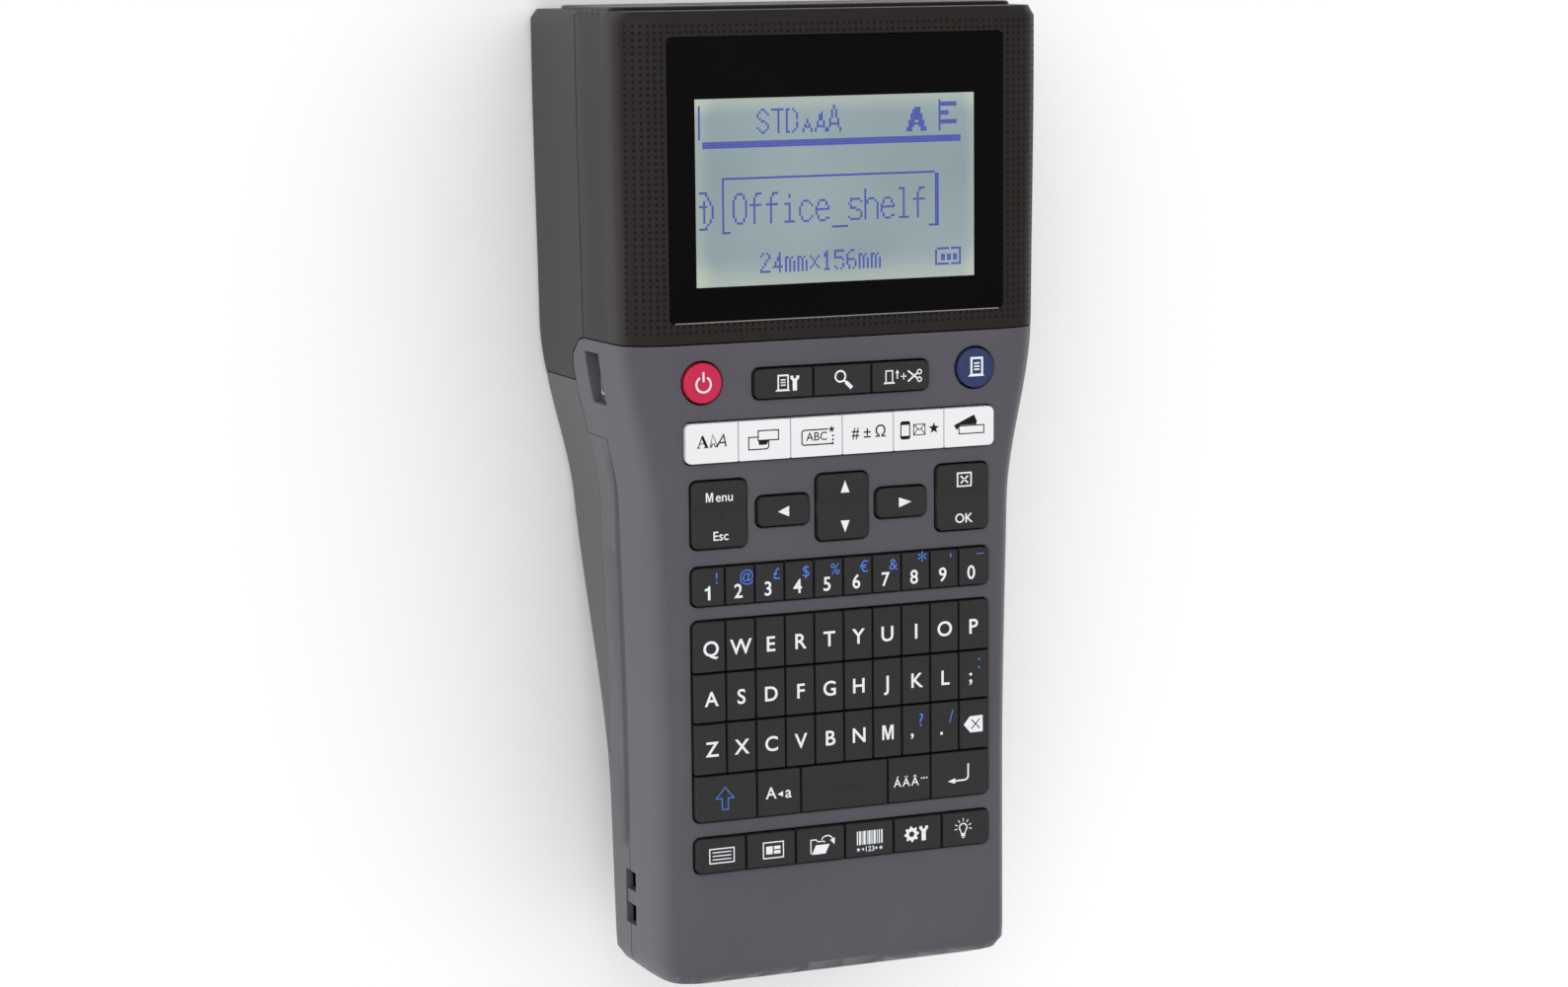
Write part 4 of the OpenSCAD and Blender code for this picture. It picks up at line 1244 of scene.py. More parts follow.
def word(text, x, y, height, weight=0.0, align="CENTER", squeeze=1.0, slant=0.0):
    # built-in sans letters, cap height in millimetres, baseline at y
    key = (text, weight, align)
    if key not in textCache:
        out = []
        for body in (text, "H"):
            curve = bpy.data.curves.new("words", "FONT")
            curve.body, curve.size, curve.offset, curve.align_x = body, 1.0, weight, align
            curve.resolution_u = 4
            item = bpy.data.objects.new("words", curve)
            scene.collection.objects.link(item)
            bpy.context.view_layer.update()
            mesh = bpy.data.meshes.new_from_object(item.evaluated_get(bpy.context.evaluated_depsgraph_get()))
            mesh.calc_loop_triangles()
            co = np.zeros(len(mesh.vertices) * 3)
            mesh.vertices.foreach_get("co", co)
            tri = np.zeros(len(mesh.loop_triangles) * 3, np.int32)
            mesh.loop_triangles.foreach_get("vertices", tri)
            out.append((co.reshape(-1, 3)[:, :2], tri.reshape(-1, 3)))
            bpy.data.objects.remove(item)
            bpy.data.curves.remove(curve)
            bpy.data.meshes.remove(mesh)
        textCache[key] = out
    (v, t), (ref, _) = textCache[key]
    scale = height / (ref[:, 1].max() - ref[:, 1].min())
    v = v - [0, ref[:, 1].min()]
    out = np.stack([v[:, 0] * scale * squeeze + v[:, 1] * scale * slant + x, v[:, 1] * scale + y], 1)
    p = out[t]
    area = np.cross(p[:, 1] - p[:, 0], p[:, 2] - p[:, 0])
    return out, np.where((area < 0)[:, None], t[:, ::-1], t)


def letterM(x, y, h):
    # outline of a capital M, x at its middle
    k = h / 3.75
    p = [
        (0, 0), (0, 3.75), (0.86, 3.75), (1.57, 1.2), (2.28, 3.75), (3.14, 3.75), (3.14, 0), (2.58, 0),
        (2.58, 2.7), (1.83, 0), (1.31, 0), (0.56, 2.7), (0.56, 0)
    ]
    return blob([(x + (a - 1.57) * k, y + b * k) for a, b in p[::-1]])


def subdivide(v, t, longest=1.2):
    # splits every triangle in four until it is small enough to follow a curved key
    for _ in range(3):
        p = v[t]
        if np.hypot(
            *(p[:, 0] - p[:, 1]).T
        ).max() < longest and np.hypot(*(p[:, 1] - p[:, 2]).T).max() < longest:
            break
        n = len(v)
        e = np.sort(np.concatenate([t[:, [0, 1]], t[:, [1, 2]], t[:, [2, 0]]]), 1)
        u, back = np.unique(e, axis=0, return_inverse=True)
        back = back.reshape(-1)
        m = back.reshape(3, -1) + n
        v = np.concatenate([v, v[u].mean(1)])
        t = np.concatenate([
            np.stack([t[:, 0], m[0], m[2]], 1), np.stack([m[0], t[:, 1], m[1]], 1),
            np.stack([m[2], m[1], t[:, 2]], 1), np.stack([m[0], m[1], m[2]], 1)
        ])
    return v, t


def legend(node, label, inks, lift=0.02):
    # inks: list of (finish name, shapes); they lie just above the key
    vs, ts, ms, offset = [], [], [], 0
    for index, (look, shapes) in enumerate(inks):
        for v, t in shapes:
            v, t = subdivide(np.asarray(v, float), np.asarray(t))
            vs.append(v)
            ts.append(t + offset)
            ms.append(np.full(len(t), index))
            offset += len(v)
    v, t, m = np.concatenate(vs), np.concatenate(ts), np.concatenate(ms)
    z = np.full(len(v), -1e9)
    for box, top, high in keyTop[node]:
        inside = (
            v[:, 0] > box[0] - 0.5
        ) & (v[:, 0] < box[1] + 0.5) & (v[:, 1] > box[2] - 0.5) & (v[:, 1] < box[3] + 0.5)
        z = np.where(inside, np.maximum(z, high + top(v[:, 0], v[:, 1]) + lift), z)
    piece = makePiece(
        label, np.column_stack([v, z]), t, [finish[look] for look, _ in inks], node, None, m, merge=False
    )
    return piece


def pageIcon(x0, x1, y0, y1, w):
    # sheet with text lines standing on a slot
    h = y1 - y0
    a, b = x0 + (x1 - x0) * 0.2, x1 - (x1 - x0) * 0.14
    shapes = [line([(a, y0 + h * 0.12), (a, y1), (b, y1), (b, y0 + h * 0.12)], w)]
    shapes += [
        line([(a + (b - a) * 0.25, y0 + h * k), (b - (b - a) * 0.25, y0 + h * k)], w * 0.75)
        for k in (0.38, 0.55, 0.72)
    ]
    shapes.append(blob([(x0, y0), (x1, y0), (x1 - w, y0 + w * 1.15), (x0 + w, y0 + w * 1.15)]))
    return shapes


def wrenchIcon(cx, y0, y1, w):
    h = y1 - y0
    top = y1 - h * 0.2
    return [
        blob([
            (cx - w * 0.3, y0), (cx + w * 0.3, y0), (cx + w * 0.3, top - h * 0.1),
            (cx - w * 0.3, top - h * 0.1)
        ]),
        blob([
            (cx - w * 0.62, top + h * 0.04), (cx - w * 0.3, top - h * 0.16), (cx + w * 0.3, top - h * 0.16),
            (cx + w * 0.62, top + h * 0.04), (cx + w * 0.62, y1), (cx + w * 0.2, y1),
            (cx + w * 0.2, top + h * 0.02), (cx - w * 0.2, top + h * 0.02), (cx - w * 0.2, y1),
            (cx - w * 0.62, y1)
        ])
    ]


bold = 0.013
legend(
    "power_key", "powerMark",
    [(
        "whiteInk",
        [line(arc(-36.85, 30.25, 1.9, 118, 422, 40), 0.5), line([(-36.85, 33.35), (-36.85, 30.9)], 0.5)]
    )]
)
legend("print_key", "printMark", [("whiteInk", pageIcon(34.5, 39.0, 28.4, 33.0, 0.55))])
legend(
    "preview_key", "previewMark",
    [("whiteInk", pageIcon(-17.9, -13.95, 27.5, 31.4, 0.42) + wrenchIcon(-12.7, 27.5, 31.2, 1.9))]
)
legend(
    "search_key", "searchMark",
    [(
        "whiteInk",
        [
            line(arc(-0.45, 30.35, 1.35, 0, 360, 33)[:-1], 0.45, True),
            line([(0.6, 29.3), (1.1, 28.8)], 0.5), line([(1.05, 28.85), (2.6, 27.35)], 0.95)
        ]
    )]
)
legend(
    "feed_cut_key", "feedCutMark",
    [(
        "whiteInk",
        [
            line([(11.9, 28.1), (11.9, 31.0), (13.7, 31.0), (13.7, 28.1)], 0.32),
            blob([(11.2, 27.75), (14.4, 27.75), (14.1, 28.2), (11.5, 28.2)]),
            line([(15.0, 28.9), (15.0, 30.6)], 0.35), blob([(14.45, 30.3), (15.55, 30.3), (15.0, 31.2)]),
            line([(15.95, 29.45), (17.55, 29.45)], 0.28), line([(16.75, 28.65), (16.75, 30.25)], 0.28),
            line([(17.9, 30.8), (20.5, 28.75)], 0.42), line([(17.9, 28.1), (20.5, 30.15)], 0.42),
            line(arc(21.05, 30.4, 0.55, 0, 360, 17)[:-1], 0.3, True),
            line(arc(21.05, 28.5, 0.55, 0, 360, 17)[:-1], 0.3, True)
        ]
    )]
)


def serifA(x0, x1, y0, y1, w):
    mid = (x0 + x1) / 2
    q = (x1 - x0) * 0.12
    return [
        line([(x0 + q * 0.9, y0 + 0.1), (mid - w * 0.1, y1)], w * 0.42),
        line([(mid - w * 0.2, y1), (x1 - q * 1.2, y0 + 0.1)], w * 1.15),
        line([(x0 + q * 2.2, y0 + (y1 - y0) * 0.34), (x1 - q * 2.5, y0 + (y1 - y0) * 0.34)], w * 0.4),
        line([(x0, y0), (x0 + q * 2.4, y0)], w * 0.4), line([(x1 - q * 3.1, y0), (x1, y0)], w * 0.4)
    ]


legend(
    "style_key", "styleMark",
    [(
        "darkInk",
        serifA(-38.8, -35.8, 14.75, 17.6, 0.6)
        + [
            line(
                [
                    (-35.3, 14.8), (-34.6, 17.9), (-33.4, 14.8), (-34.0, 14.8), (-34.2, 15.5),
                    (-34.8, 15.5), (-34.95, 14.8)
                ],
                0.24, True
            ),
            line([(-33.6, 14.75), (-31.75, 17.65), (-31.15, 14.75)], 0.4),
            line([(-32.9, 15.75), (-31.4, 15.75)], 0.36)
        ]
    )]
)
legend(
    "layout_key", "layoutMark",
    [(
        "darkInk",
        [
            line(
                [
                    (-22.7, 16.55), (-25.15, 16.55), (-25.15, 13.5), (-20.3, 13.5), (-19.8, 14.0),
                    (-19.8, 15.5)
                ],
                0.3
            ),
            line(rect(-22.6, 15.65, -17.2, 18.05), 0.3, True),
            blob([(-22.6, 15.65), (-19.85, 15.65), (-20.3, 14.55), (-22.4, 14.55)])
        ]
    )]
)
legend(
    "text_frame_key", "textFrameMark",
    [(
        "darkInk",
        [
            line(
                [
                    (-3.9, 17.45), (-10.5, 17.45), (-10.95, 17.0), (-10.95, 14.15), (-10.5, 13.75),
                    (-2.9, 13.75)
                ],
                0.32
            ),
            star(-2.95, 17.35, 0.95), disc(-2.6, 15.75, 0.26), disc(-2.6, 14.75, 0.26),
            disc(-2.7, 13.85, 0.32), word("ABC", -6.95, 14.75, 2.05, 0.006)
        ]
    )]
)
legend(
    "symbol_key", "symbolMark",
    [(
        "darkInk",
        [
            word("#", 3.5, 14.65, 2.9, 0.006, squeeze=0.8), word("±", 6.7, 14.65, 2.7, 0.006),
            word("Ω", 10.3, 14.65, 2.85, 0.006)
        ]
    )]
)
legend(
    "icon_key", "iconMark",
    [(
        "darkInk",
        [
            line(roundedBox(15.85, 18.3, 13.7, 18.0, 0.45, 4), 0.3, True),
            blob(rect(15.9, 17.2, 18.25, 17.9)), blob(rect(15.9, 13.8, 18.25, 14.45)),
            line(rect(19.4, 14.5, 22.5, 17.15), 0.24, True),
            line([(19.4, 17.15), (20.95, 15.7), (22.5, 17.15)], 0.22),
            line([(19.4, 14.5), (20.5, 16.1)], 0.22), line([(22.5, 14.5), (21.4, 16.1)], 0.22),
            star(24.95, 15.95, 1.5)
        ]
    )]
)
legend(
    "label_type_key", "labelTypeMark",
    [(
        "darkInk",
        [
            blob([
                (30.5, 16.3), (36.1, 18.75), (36.9, 17.0), (36.7, 16.25), (32.2, 16.25), (31.9, 15.9),
                (31.3, 15.0)
            ]),
            line(rect(31.9, 14.05, 38.8, 16.05), 0.28, True)
        ]
    )]
)
legend(
    "menu_key", "menuMark",
    [(
        "whiteInk",
        [
            letterM(-35.7, 1.2, 2.3), word("enu", -31.75, 1.2, 2.25, bold * 0.6),
            word("Esc", -32.85, -8.45, 2.25, bold * 0.6)
        ]
    )]
)
legend("left_key", "leftMark", [("whiteInk", [blob([(-17.5, -2.4), (-14.5, -3.75), (-14.5, -1.1)])])])
legend(
    "up_down_key", "upDownMark",
    [(
        "whiteInk",
        [
            blob([(-0.65, 1.25), (1.75, 1.25), (0.55, 4.3)]),
            blob([(-0.7, -5.75), (0.5, -8.75), (1.7, -5.75)])
        ]
    )]
)
legend("right_key", "rightMark", [("whiteInk", [blob([(15.3, -3.5), (18.75, -2.25), (15.3, -1.0)])])])
legend(
    "ok_key", "okMark",
    [(
        "whiteInk",
        [
            line(rect(31.45, 0.75, 35.2, 4.1), 0.4, True), line([(32.3, 1.5), (34.35, 3.35)], 0.42),
            line([(32.3, 3.35), (34.35, 1.5)], 0.42), word("OK", 33.1, -8.55, 2.35, bold)
        ]
    )]
)


def cellX(k):
    return (k - 4.5) * letterPitch


digits = [word(c, cellX(k + 1) - 0.5, -23.15, 3.5, bold, squeeze=0.95) for k, c in enumerate("234567890")]
one = cellX(0) - 0.5
digits.append(
    blob([
        (one - 0.15, -23.15), (one + 0.5, -23.15), (one + 0.5, -19.65), (one + 0.05, -19.65),
        (one - 0.2, -20.1), (one - 0.95, -20.35), (one - 0.95, -20.85), (one - 0.15, -20.75)
    ])
)
digitTops = [word(c, cellX(k) + 1.7, -19.15, 2.75, -0.002, squeeze=0.95) for k, c in enumerate("!@£$%€&")]
digitTops += [word("*", cellX(7) + 1.7, -19.3, 4.0, 0.0), word("'", cellX(8) + 1.7, -19.3, 3.0, 0.0)]
legend(
    "digit_row", "digitMarks",
    [("whiteInk", digits), ("blueInk", digitTops + [line([(36.7, -16.75), (38.7, -16.75)], 0.22)])]
)
legend(
    "letter_row_1", "letterTopMarks",
    [("whiteInk", [word(c, cellX(k), -37.25, 3.8, bold) for k, c in enumerate("QWERTYUIOP")])]
)
legend(
    "letter_row_2", "letterMiddleMarks",
    [
        (
            "whiteInk",
            [word(c, cellX(k), -49.8, 3.7, bold) for k, c in enumerate("ASDFGHJKL")]
            + [word(";", cellX(9) - 0.7, -49.8, 3.7, bold)]
        ),
        ("blueInk", [disc(37.4, -43.9, 0.26), disc(37.4, -46.0, 0.26)])
    ]
)
legend(
    "letter_row_3", "letterLowerMarks",
    [
        (
            "whiteInk",
            [word(c, cellX(k), -62.5, 3.75, bold) for k, c in enumerate("ZXCVBN")]
            + [
                letterM(cellX(6), -62.5, 3.75), word(",", cellX(7) - 1.2, -62.3, 3.7, bold),
                blob(rect(26.45, -62.6, 27.15, -61.9)),
                blob([(33.0, -60.6), (34.75, -58.55), (38.35, -58.45), (38.35, -62.7), (34.9, -62.75)])
            ]
        ),
        (
            "blueInk",
            [word("?", cellX(7) + 1.25, -59.8, 3.2, 0.0), line([(29.1, -59.7), (29.95, -56.4)], 0.26)]
        )
    ]
)
legend(
    "letter_row_3", "deleteCross",
    [("darkInk", [line([(35.2, -61.8), (37.5, -59.4)], 0.26), line([(35.2, -59.4), (37.5, -61.8)], 0.26)])],
    0.05
)
legend(
    "bottom_row", "bottomMarks",
    [
        (
            "whiteInk",
            [
                word("A", -20.1, -74.65, 2.95, bold * 0.6),
                blob([(-18.35, -73.65), (-16.9, -74.35), (-16.9, -72.95)]),
                word("a", -15.45, -74.75, 2.9, bold * 0.6), word("Á", 14.45, -75.0, 2.15, bold * 0.6),
                word("Ä", 16.9, -75.0, 2.15, bold * 0.6), word("Â", 19.35, -75.0, 2.15, bold * 0.6),
                disc(21.2, -73.25, 0.22), disc(21.9, -73.25, 0.22), disc(22.6, -73.25, 0.22),
                line(
                    np.concatenate([
                        [(34.25, -70.7)], [(34.25, -73.8)], arc(33.15, -73.8, 1.1, 0, -90, 8)[1:],
                        [(30.2, -74.95)]
                    ]),
                    0.42
                ),
                blob([(28.5, -74.95), (30.6, -75.65), (30.6, -74.2)])
            ]
        ),
        (
            "blueInk",
            [
                line(
                    [
                        (-32.45, -70.5), (-34.8, -73.3), (-33.25, -73.3), (-33.25, -76.1), (-31.65, -76.1),
                        (-31.65, -73.3), (-30.1, -73.3)
                    ],
                    0.24, True
                )
            ]
        )
    ]
)
legend(
    "line_key", "lineMark",
    [(
        "whiteInk",
        [line(rect(-36.75, -89.55, -30.25, -85.95), 0.3, True)]
        + [line([(-36.0, y), (-31.0, y)], 0.26) for y in (-86.85, -87.75, -88.65)]
    )]
)
legend(
    "block_key", "blockMark",
    [(
        "whiteInk",
        [
            line(rect(-22.35, -89.75, -16.95, -85.75), 0.3, True),
            blob(rect(-21.6, -88.75, -19.85, -86.75)), blob(rect(-19.5, -87.6, -17.75, -86.75)),
            blob(rect(-19.5, -88.75, -17.75, -87.9))
        ]
    )]
)
legend(
    "file_key", "fileMark",
    [(
        "whiteInk",
        [
            line(
                [
                    (-9.45, -89.9), (-9.45, -86.35), (-8.0, -86.35), (-7.6, -86.9), (-5.9, -86.9),
                    (-5.6, -87.2)
                ],
                0.28
            ),
            blob([(-9.2, -90.1), (-8.1, -87.75), (-4.3, -87.75), (-5.5, -90.1)]),
            line(arc(-5.0, -87.3, 1.75, 150, 28, 14), 0.3),
            blob([(-4.2, -86.75), (-3.0, -87.95), (-2.9, -86.2)])
        ]
    )]
)
legend(
    "barcode_key", "barcodeMark",
    [(
        "whiteInk",
        [
            blob(rect(3.15 + x, -88.95, 3.15 + x + w, -85.4)) for x,
            w in (
                (0, 0.32), (0.6, 0.5), (1.35, 0.2), (1.8, 0.6), (2.75, 0.2), (3.2, 0.55), (4.0, 0.3),
                (4.6, 0.6), (5.5, 0.2), (6.0, 0.35), (6.7, 0.4)
            )
        ]
        + [word("∗123∗", 6.65, -90.75, 1.3, bold * 0.5), star(3.55, -90.1, 0.6), star(9.75, -90.1, 0.6)]
    )]
)


def gearIcon(cx, cy, r):
    a = np.radians(np.arange(0, 360, 360 / 32))
    k = np.where((np.arange(32) // 2) % 2 == 0, r, r * 0.76)
    outer = np.stack([cx + k * np.cos(a), cy + k * np.sin(a)], 1)
    inner = np.stack([cx + r * 0.36 * np.cos(a), cy + r * 0.36 * np.sin(a)], 1)
    i = np.arange(32)
    j = np.roll(i, -1)
    return np.concatenate([inner, outer]), np.concatenate([
        np.stack([i, i + 32, j + 32], 1), np.stack([i, j + 32, j], 1)
    ])


legend(
    "setup_key", "setupMark",
    [("whiteInk", [gearIcon(18.35, -87.6, 2.05)] + wrenchIcon(21.7, -89.5, -85.75, 1.95))]
)
rays = [
    line(
        [
            (32.8 + 1.65 * math.cos(a), -87.3 + 1.65 * math.sin(a)),
            (32.8 + 2.45 * math.cos(a), -87.3 + 2.45 * math.sin(a))
        ],
        0.24
    )
    for a in np.radians([-10, 20, 55, 90, 125, 160, 190])
]
legend(
    "light_key", "lightMark",
    [(
        "whiteInk",
        rays + [
            line(arc(32.8, -87.3, 1.05, -50, 230, 22), 0.34),
            line([(32.15, -88.2), (32.3, -88.9), (33.3, -88.9), (33.45, -88.2)], 0.3),
            blob(rect(32.25, -89.6, 33.35, -89.0)), blob(rect(32.45, -90.0, 33.15, -89.75))
        ]
    )]
)
print("legends made")


# glass and display
display = {
    "corner": 1.4,  # rounding of the glass
    "edge": 0.12,
    "wide": 74.7,  # lit panel
    "tall": 45.75,
    "middle": 76.6,  # height of the panel's centre along the body
    "pitch": 0.548,  # spacing of the dots
    "dot": 0.5,
}


def panelBox(grow=0.0):
    w, h, c = display["wide"] / 2 + grow, display["tall"] / 2 + grow, display["middle"]
    return -w - 0.5, w - 0.5, c - h, c + h


low, high = boxOf("display_window")
glassOutline = densify(roundedBox(low[0], high[0], low[1], high[1], display["corner"], 8), 3.0)
lit = panelBox()
litOutline = densify(roundedBox(*lit, 0.15, 3), 3.0)
v, t = plate(glassOutline, [litOutline], faceZ, 1.0, display["edge"])
makePiece("displayGlass", v, t, finish["glass"], "case", "glass")
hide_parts("display_window")
v, t = plate(densify(roundedBox(*panelBox(-0.03), 0.1, 3), 2.0), [], faceZ - 0.1, 0.6, 0.05)
makePiece("litPanel", v, t, finish["lit"], "case", "screen")
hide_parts("lcd_module")

# letters of the display as strokes on a grid 6 dots wide and 13 high
strokes = {
    "O": [[(2, 0), (4, 0), (6, 3), (6, 10), (4, 13), (2, 13), (0, 10), (0, 3), (2, 0)]],
    "f": [[(2, 0), (2, 11), (3, 13), (5, 13)], [(0, 8), (5, 8)]],
    "i": [[(1, 8), (3, 8), (3, 0)], [(1, 0), (5, 0)], [(3, 11), (3, 12)]],
    "c": [[(6, 2), (4, 0), (2, 0), (0, 3), (0, 6), (2, 9), (4, 9), (6, 7)]],
    "e": [[(6, 1), (4, 0), (2, 0), (0, 3), (0, 6), (2, 9), (4, 9), (6, 6), (6, 5), (0, 5)]],
    "_": [[(0, -3), (7, -3)]],
    "s": [[(6, 8), (5, 9), (1, 9), (0, 7), (1, 5), (5, 4), (6, 2), (5, 0), (1, 0), (0, 1)]],
    "h": [[(0, 0), (0, 13)], [(0, 6), (2, 9), (4, 9), (6, 7), (6, 0)]],
    "l": [[(1, 13), (3, 13), (3, 0)], [(1, 0), (5, 0)]],
    "S": [
        [(6, 11), (4, 13), (2, 13), (0, 11), (0, 9), (2, 7), (4, 6), (6, 4), (6, 2), (4, 0), (2, 0), (0, 2)]
    ],
    "T": [[(0, 13), (6, 13)], [(3, 13), (3, 0)]],
    "D": [[(0, 0), (0, 13), (3, 13), (6, 10), (6, 3), (3, 0), (0, 0)]],
    "A": [[(0, 0), (3, 13), (6, 0)], [(1, 4), (5, 4)]], "1": [[(1, 10), (3, 13), (3, 0)], [(1, 0), (5, 0)]],
    "2": [[(0, 11), (2, 13), (4, 13), (6, 11), (6, 9), (0, 1), (0, 0), (6, 0)]],
    "4": [[(5, 0), (5, 13), (0, 4), (6, 4)]],
    "5": [[(6, 13), (0, 13), (0, 8), (4, 8), (6, 6), (6, 2), (4, 0), (2, 0), (0, 2)]],
    "6": [[(5, 13), (3, 13), (0, 9), (0, 3), (2, 0), (4, 0), (6, 2), (6, 5), (4, 7), (1, 7)]],
    "m": [[(0, 0), (0, 9)], [(0, 8), (2, 9), (3, 7), (3, 0)], [(3, 8), (5, 9), (6, 7), (6, 0)]],
    "x": [[(0, 2), (6, 10)], [(0, 10), (6, 2)]],
}


def dotsAlong(path):
    # dots of the grid along a path given in dots
    out = []
    for a, b in zip(path[:-1], path[1:]):
        n = max(1, round(max(abs(b[0] - a[0]), abs(b[1] - a[1]))))
        t = np.linspace(0, 1, n + 1)[:, None]
        out.append(np.floor(np.array(a) + (np.array(b) - np.array(a)) * t + 0.5))
    return np.concatenate(out)


def written(text, x, y, step, wide=6, tall=13, thick=1):
    # x, y in millimetres of the lower left dot; step, wide and tall in dots
    x0, y0 = round(x / display["pitch"]), round(y / display["pitch"])
    out = []
    for k, c in enumerate(text):
        for path in strokes[c]:
            for s in range(thick):
                out.append(
                    dotsAlong([(x0 + k * step + p[0] * wide / 6 + s, y0 + p[1] * tall / 13) for p in path])
                )
    return out


def ruled(points, thick=1, upright=False):
    # points in millimetres
    p = [(x / display["pitch"], y / display["pitch"]) for x, y in points]
    return [
        dotsAlong([(a + (s if upright else 0), b - (0 if upright else s)) for a, b in p])
        for s in range(thick)
    ]


marks = ruled([
    (-36.5, 97.8), (-36.5, 89.6), (-35.7, 88.9), (33, 88.9)
]) + ruled([(-35.7, 88.9), (33, 88.9)], 3)
marks += written("STD", -21.4, 90.95, 7, 5, 10)
marks += written("A", -9.1, 90.95, 5, 4, 5) + written("A", -6.2, 90.95, 5, 5, 8) + written(
    "A", -2.6, 90.95, 6, 6, 11
)
marks += written("A", 18.4, 90.6, 8, 7, 10, 3)
marks += ruled([(27.4, 90.4), (27.4, 97.7)]) + ruled([(27.9, 96.9), (31.9, 96.9)], 2)
marks += ruled([(27.9, 94.7), (29.7, 94.7)], 2) + ruled([(27.9, 92.6), (31.9, 92.6)], 2)
marks += ruled([
    (-28.9, 67.1), (-30.6, 67.1), (-30.6, 80.15), (25.6, 80.15)
]) + ruled([(26.3, 79.4), (26.3, 67.2)], 2, True)
marks += ruled([(24.6, 67.1), (26.6, 67.1)])
marks += written("Office_shelf", -28.0, 69.2, 8)
marks += ruled([
    (-36.8, 76.8), (-35.2, 76.8), (-34.0, 74.6), (-33.4, 73.0), (-33.4, 71.0), (-34.0, 69.6), (-35.2, 67.7),
    (-36.8, 67.7)
])
marks += ruled([(-35.6, 74.4), (-35.6, 69.6)]) + ruled([(-36.8, 73.3), (-34.9, 73.3)])
marks += written("24mmx156mm", -20.6, 56.9, 6, 4, 8)
marks += ruled([
    (27.0, 60.7), (32.7, 60.7), (32.7, 56.8), (27.0, 56.8), (26.1, 57.7), (26.1, 59.8), (27.0, 60.7)
])
marks += sum([ruled([(x, 59.4), (x, 57.9)], 2, True) for x in (28.1, 29.7, 31.2)], [])
dots = np.unique(np.concatenate(marks), axis=0) * display["pitch"]
inside = (
    dots[:, 0] > lit[0] + 0.6
) & (dots[:, 0] < lit[1] - 0.4) & (dots[:, 1] > lit[2] + 0.4) & (dots[:, 1] < lit[3] - 0.4)
dots = dots[inside]
h = display["dot"] / 2
corners = dots[:, None, :] + np.array([(-h, -h), (h, -h), (h, h), (-h, h)])
v = np.concatenate([corners.reshape(-1, 2), np.full((len(dots) * 4, 1), faceZ - 0.08)], 1)
k = np.arange(len(dots))[:, None] * 4
t = np.concatenate([k + [0, 1, 2], k + [0, 2, 3]])
makePiece("displayDots", v, t, finish["dots"], "case", None, merge=False)
print("display made:", len(dots), "dots")


# tape exit, sockets and battery bay
low, high = boxOf("tape_exit_block")
tapeX = float((boxOf("print_head")[0][0] + boxOf("platen_roller")[1][0]) / 2)
tapeZ = boxOf("tape_roll")
outline = densify(roundedBox(low[0], high[0], low[2], high[2], 3.2, 8), 2.0)
slot = densify(roundedBox(tapeX - 1.5, tapeX + 1.5, tapeZ[0][2] - 1, tapeZ[1][2] + 1, 1.4, 6), 1.0)
v, t = plate(outline, [slot], high[1], 2.2, 0.7, "y")
makePiece("tapeExit", v, t, finish["exit"], "case", "black_shell")
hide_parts("tape_exit_block")


def pocket(side, sideways, box, depth, slope=0.4):
    # recess in a flank: the rim on the skin, the wall going straight in, and a flat floor
    port = densify([(box[0], box[2]), (box[1], box[2]), (box[1], box[3]), (box[0], box[3])], 1.2)
    s = sAtHeight(port[:, 1], port[:, 0], sideways, side)
    rim = skinPoint(s, port[:, 0], side)
    n = skinNormal(s, port[:, 0], side)
    floorX = np.abs(rim[:, 0]).min() - depth
    rings = []
    mid = rim.mean(0)
    for f, draw in ((0.0, 0.0), (0.5, 0.25), (1.0, slope)):
        q = rim - n * 0.25
        q[:, 0] = q[:, 0] + (sideways * floorX - q[:, 0]) * f
        q[:, 1:] = mid[1:] + (q[:, 1:] - mid[1:]) * (1 - draw * 0.1)
        rings.append(q)
    rings.append(np.repeat([[sideways * floorX, mid[1], mid[2]]], len(rim), 0))
    grid = np.stack(rings)
    grid = np.concatenate([grid, grid[:, :1]], 1)
    v, t = gridTris(grid)
    p = v[t]
    facing = np.cross(p[:, 1] - p[:, 0], p[:, 2] - p[:, 0])[:, 0].sum() * sideways
    return v, t if facing > 0 else t[:, ::-1], floorX


v, t, floorX = pocket("front", -1, portBox, 1.6)
v2, t2 = v.copy(), t[:, ::-1]
v2[:, 0] += 0.8
makePiece(
    "socketPocket", *joined([(v, t), (v2, t2)]), finish["grip"], "case", "grey_shell"
)


socketZ = (portBox[2] + portBox[3]) / 2 + 0.3
mouth = densify(
    roundedBox(case["socketY"] - 3.75, case["socketY"] + 3.75, socketZ - 0.95, socketZ + 0.95, 0.5, 5), 0.8
)
rim = densify(
    roundedBox(case["socketY"] - 4.5, case["socketY"] + 4.5, socketZ - 1.65, socketZ + 1.65, 0.9, 6), 0.8
)
socketX = -floorX - 0.9
v, t = plate(rim, [mouth], socketX, 2.0, 0.25, "x")
tongue = plate(
    densify(
        roundedBox(case["socketY"] - 2.9, case["socketY"] + 2.9, socketZ - 0.3, socketZ + 0.35, 0.15, 4),
        0.8
    ),
    [], socketX + 0.35, 1.5, 0.1 , "x"
)
well = plate(
    densify(
        roundedBox(case["socketY"] - 4.2, case["socketY"] + 4.2, socketZ - 1.4, socketZ + 1.4, 0.7, 5), 0.8
    ),
    [], socketX + 1.4, 0.5, 0.1 , "x"
)
dark, darkTris = joined([tongue, well])
material = np.concatenate([np.zeros(len(t), int), np.ones(len(darkTris), int)])
v, t = joined([(v, t), (dark, darkTris)])
makePiece(
    "chargeSocket", v, t, [finish["steel"], finish["inside"]], "case", "steel", material, merge=False
)
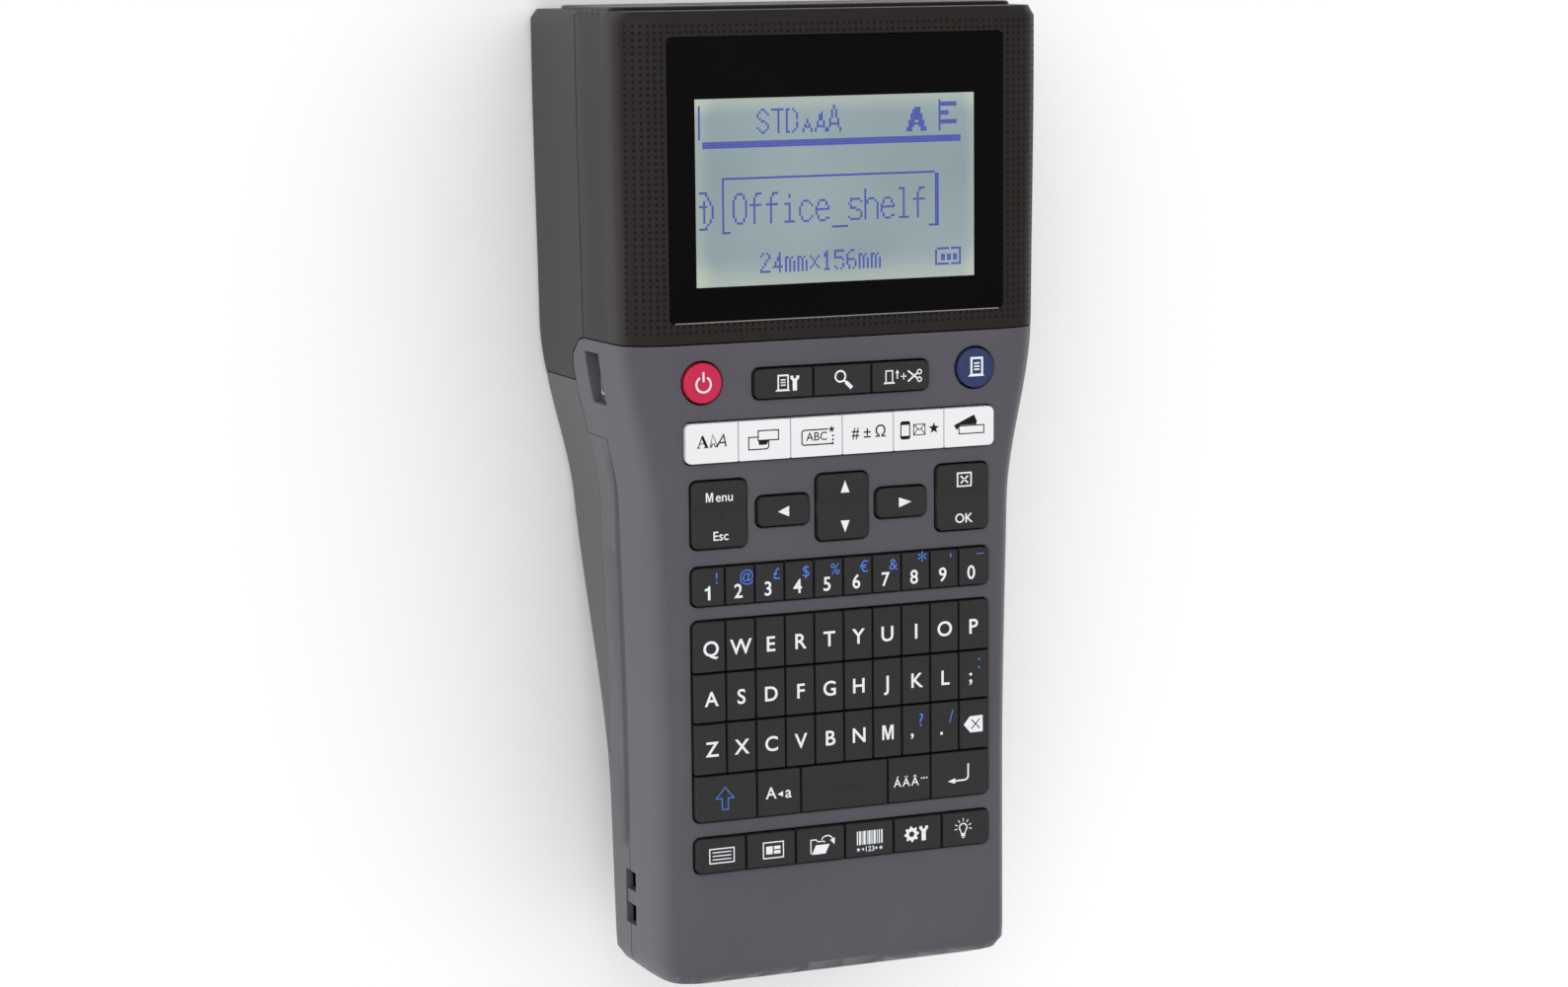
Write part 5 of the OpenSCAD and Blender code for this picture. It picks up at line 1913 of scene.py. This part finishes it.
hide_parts("usb_socket")
# floor and end wall of the battery bay
cellsLow = float(boxOf("battery_cells")[0][1])
floorLine = densify(roundedBox(-46.2, 46.2, slotY1 + 1.5, seamTopY - 0.3, 1.5, 6), 3.0)
wallLine = densify(roundedBox(-46, 46, coverSeamZ, gripSeamZ - 1, 1.0, 4), 3.0)
v, t = joined([
    plate(floorLine, [], gripSeamZ - 0.6, 1.5, 0.2), plate(wallLine, [], cellsLow - 3.8, 1.4, 0.2, "y")
])
makePiece("bayFloor", v, t, finish["rear"], "case", "grey_shell", merge=False)
# painted highlight: a pale ink strip along the lower edge of the glass stands in for light caught by that
# edge
low, high = boxOf("display_window")
highlightStrip = line([(low[0] + 1.2, low[1] + 0.02), (high[0] - 1.2, low[1] + 0.02)], 0.24)
makePiece(
    "glassEdgeHighlight", np.column_stack([highlightStrip[0], np.full(len(highlightStrip[0]), faceZ + 0.02)]), highlightStrip[1],
    finish["rim"], "case", "glass", merge=False
)
print("exit and sockets made")


# materials of the parts that keep their CAD shape
nodeFinish = {
    "steel": ["case_screws", "drive_motor", "head_arm", "cutter_blade"],
    "brass": ["motor_pinion", "battery_contacts"],
    "gear": ["idler_gear", "platen_gear", "takeup_gear", "cutter_gear", "cassette_case"],
    "inside": ["keypad_sheet", "power_jack", "chassis", "ribbon_spool"],
    "circuit": ["main_board"],
    "roller": ["platen_roller"],
    "ceramic": ["print_head"],
    "tape": ["tape_roll"],
    "cell": ["battery_cells"],
    "clear": ["cover_window"],
    "grip": ["strap_bar"],
}
for look, names in nodeFinish.items():
    for node in names:
        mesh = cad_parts[node].data
        mesh.materials.clear()
        mesh.materials.append(finish[look])
for node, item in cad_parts.items():
    if not item.hide_render and node not in sum(nodeFinish.values(), []):
        print("plain node left:", node)


# stage, light and camera
def makeFloor():
    size = 3.0
    mesh = bpy.data.meshes.new("floor")
    mesh.from_pydata(
        [(-size, -size, 0), (size, -size, 0), (size, size, 0), (-size, size, 0)], [], [(0, 1, 2, 3)]
    )
    f = Finish("floorPaint", Roughness=0.9, Specular_IOR_Level=0.2)
    soft = f.noise(3, 2.0, 0.5)
    f.use("Base Color", f.blend(soft, [0.985, 0.985, 0.985, 1], [1, 1, 1, 1]))
    mesh.materials.append(f.material)
    floor = bpy.data.objects.new("floor", mesh)
    scene.collection.objects.link(floor)


def broadLight(name, towards, strength, spread):
    # distant soft lamp; towards points from the object to the lamp
    data = bpy.data.lights.new(name, "SUN")
    data.energy, data.angle = strength, math.radians(spread)
    lamp = bpy.data.objects.new(name, data)
    z = np.array(towards) / np.linalg.norm(towards)
    x = np.cross([0.0, 1.0, 0.1], z)
    x /= np.linalg.norm(x)
    y = np.cross(z, x)
    lamp.matrix_world = Matrix([[x[k], y[k], z[k], 0] for k in range(3)] + [[0, 0, 0, 1]])
    scene.collection.objects.link(lamp)


makeFloor()
world = bpy.data.worlds.new("studio")
world.use_nodes = True
world.node_tree.nodes["Background"].inputs["Color"].default_value = (1, 1, 1, 1)
world.node_tree.nodes["Background"].inputs["Strength"].default_value = 0.98
world.cycles_visibility.glossy = False
scene.world = world
scene.view_settings.view_transform = "Standard"
broadLight("key", (-0.45, 0.4, 0.85), 0.4, 40)

camera = bpy.data.cameras.new("camera")
camera.sensor_width = 36
camera.lens = 18 / math.tan(math.radians(23.306) / 2)
camera.clip_start, camera.clip_end = 0.05, 20
viewer = bpy.data.objects.new("camera", camera)
right, down, ahead = (0.92193, -0.00941, 0.38725), (
    -0.06515, -0.98923, 0.13106
), (0.38184, -0.14606, -0.91261)
eye = (-0.3741, 0.1391, 0.9213)
viewer.matrix_world = Matrix([[right[k], -down[k], -ahead[k], eye[k]] for k in range(3)] + [[0, 0, 0, 1]])
scene.collection.objects.link(viewer)
scene.camera = viewer
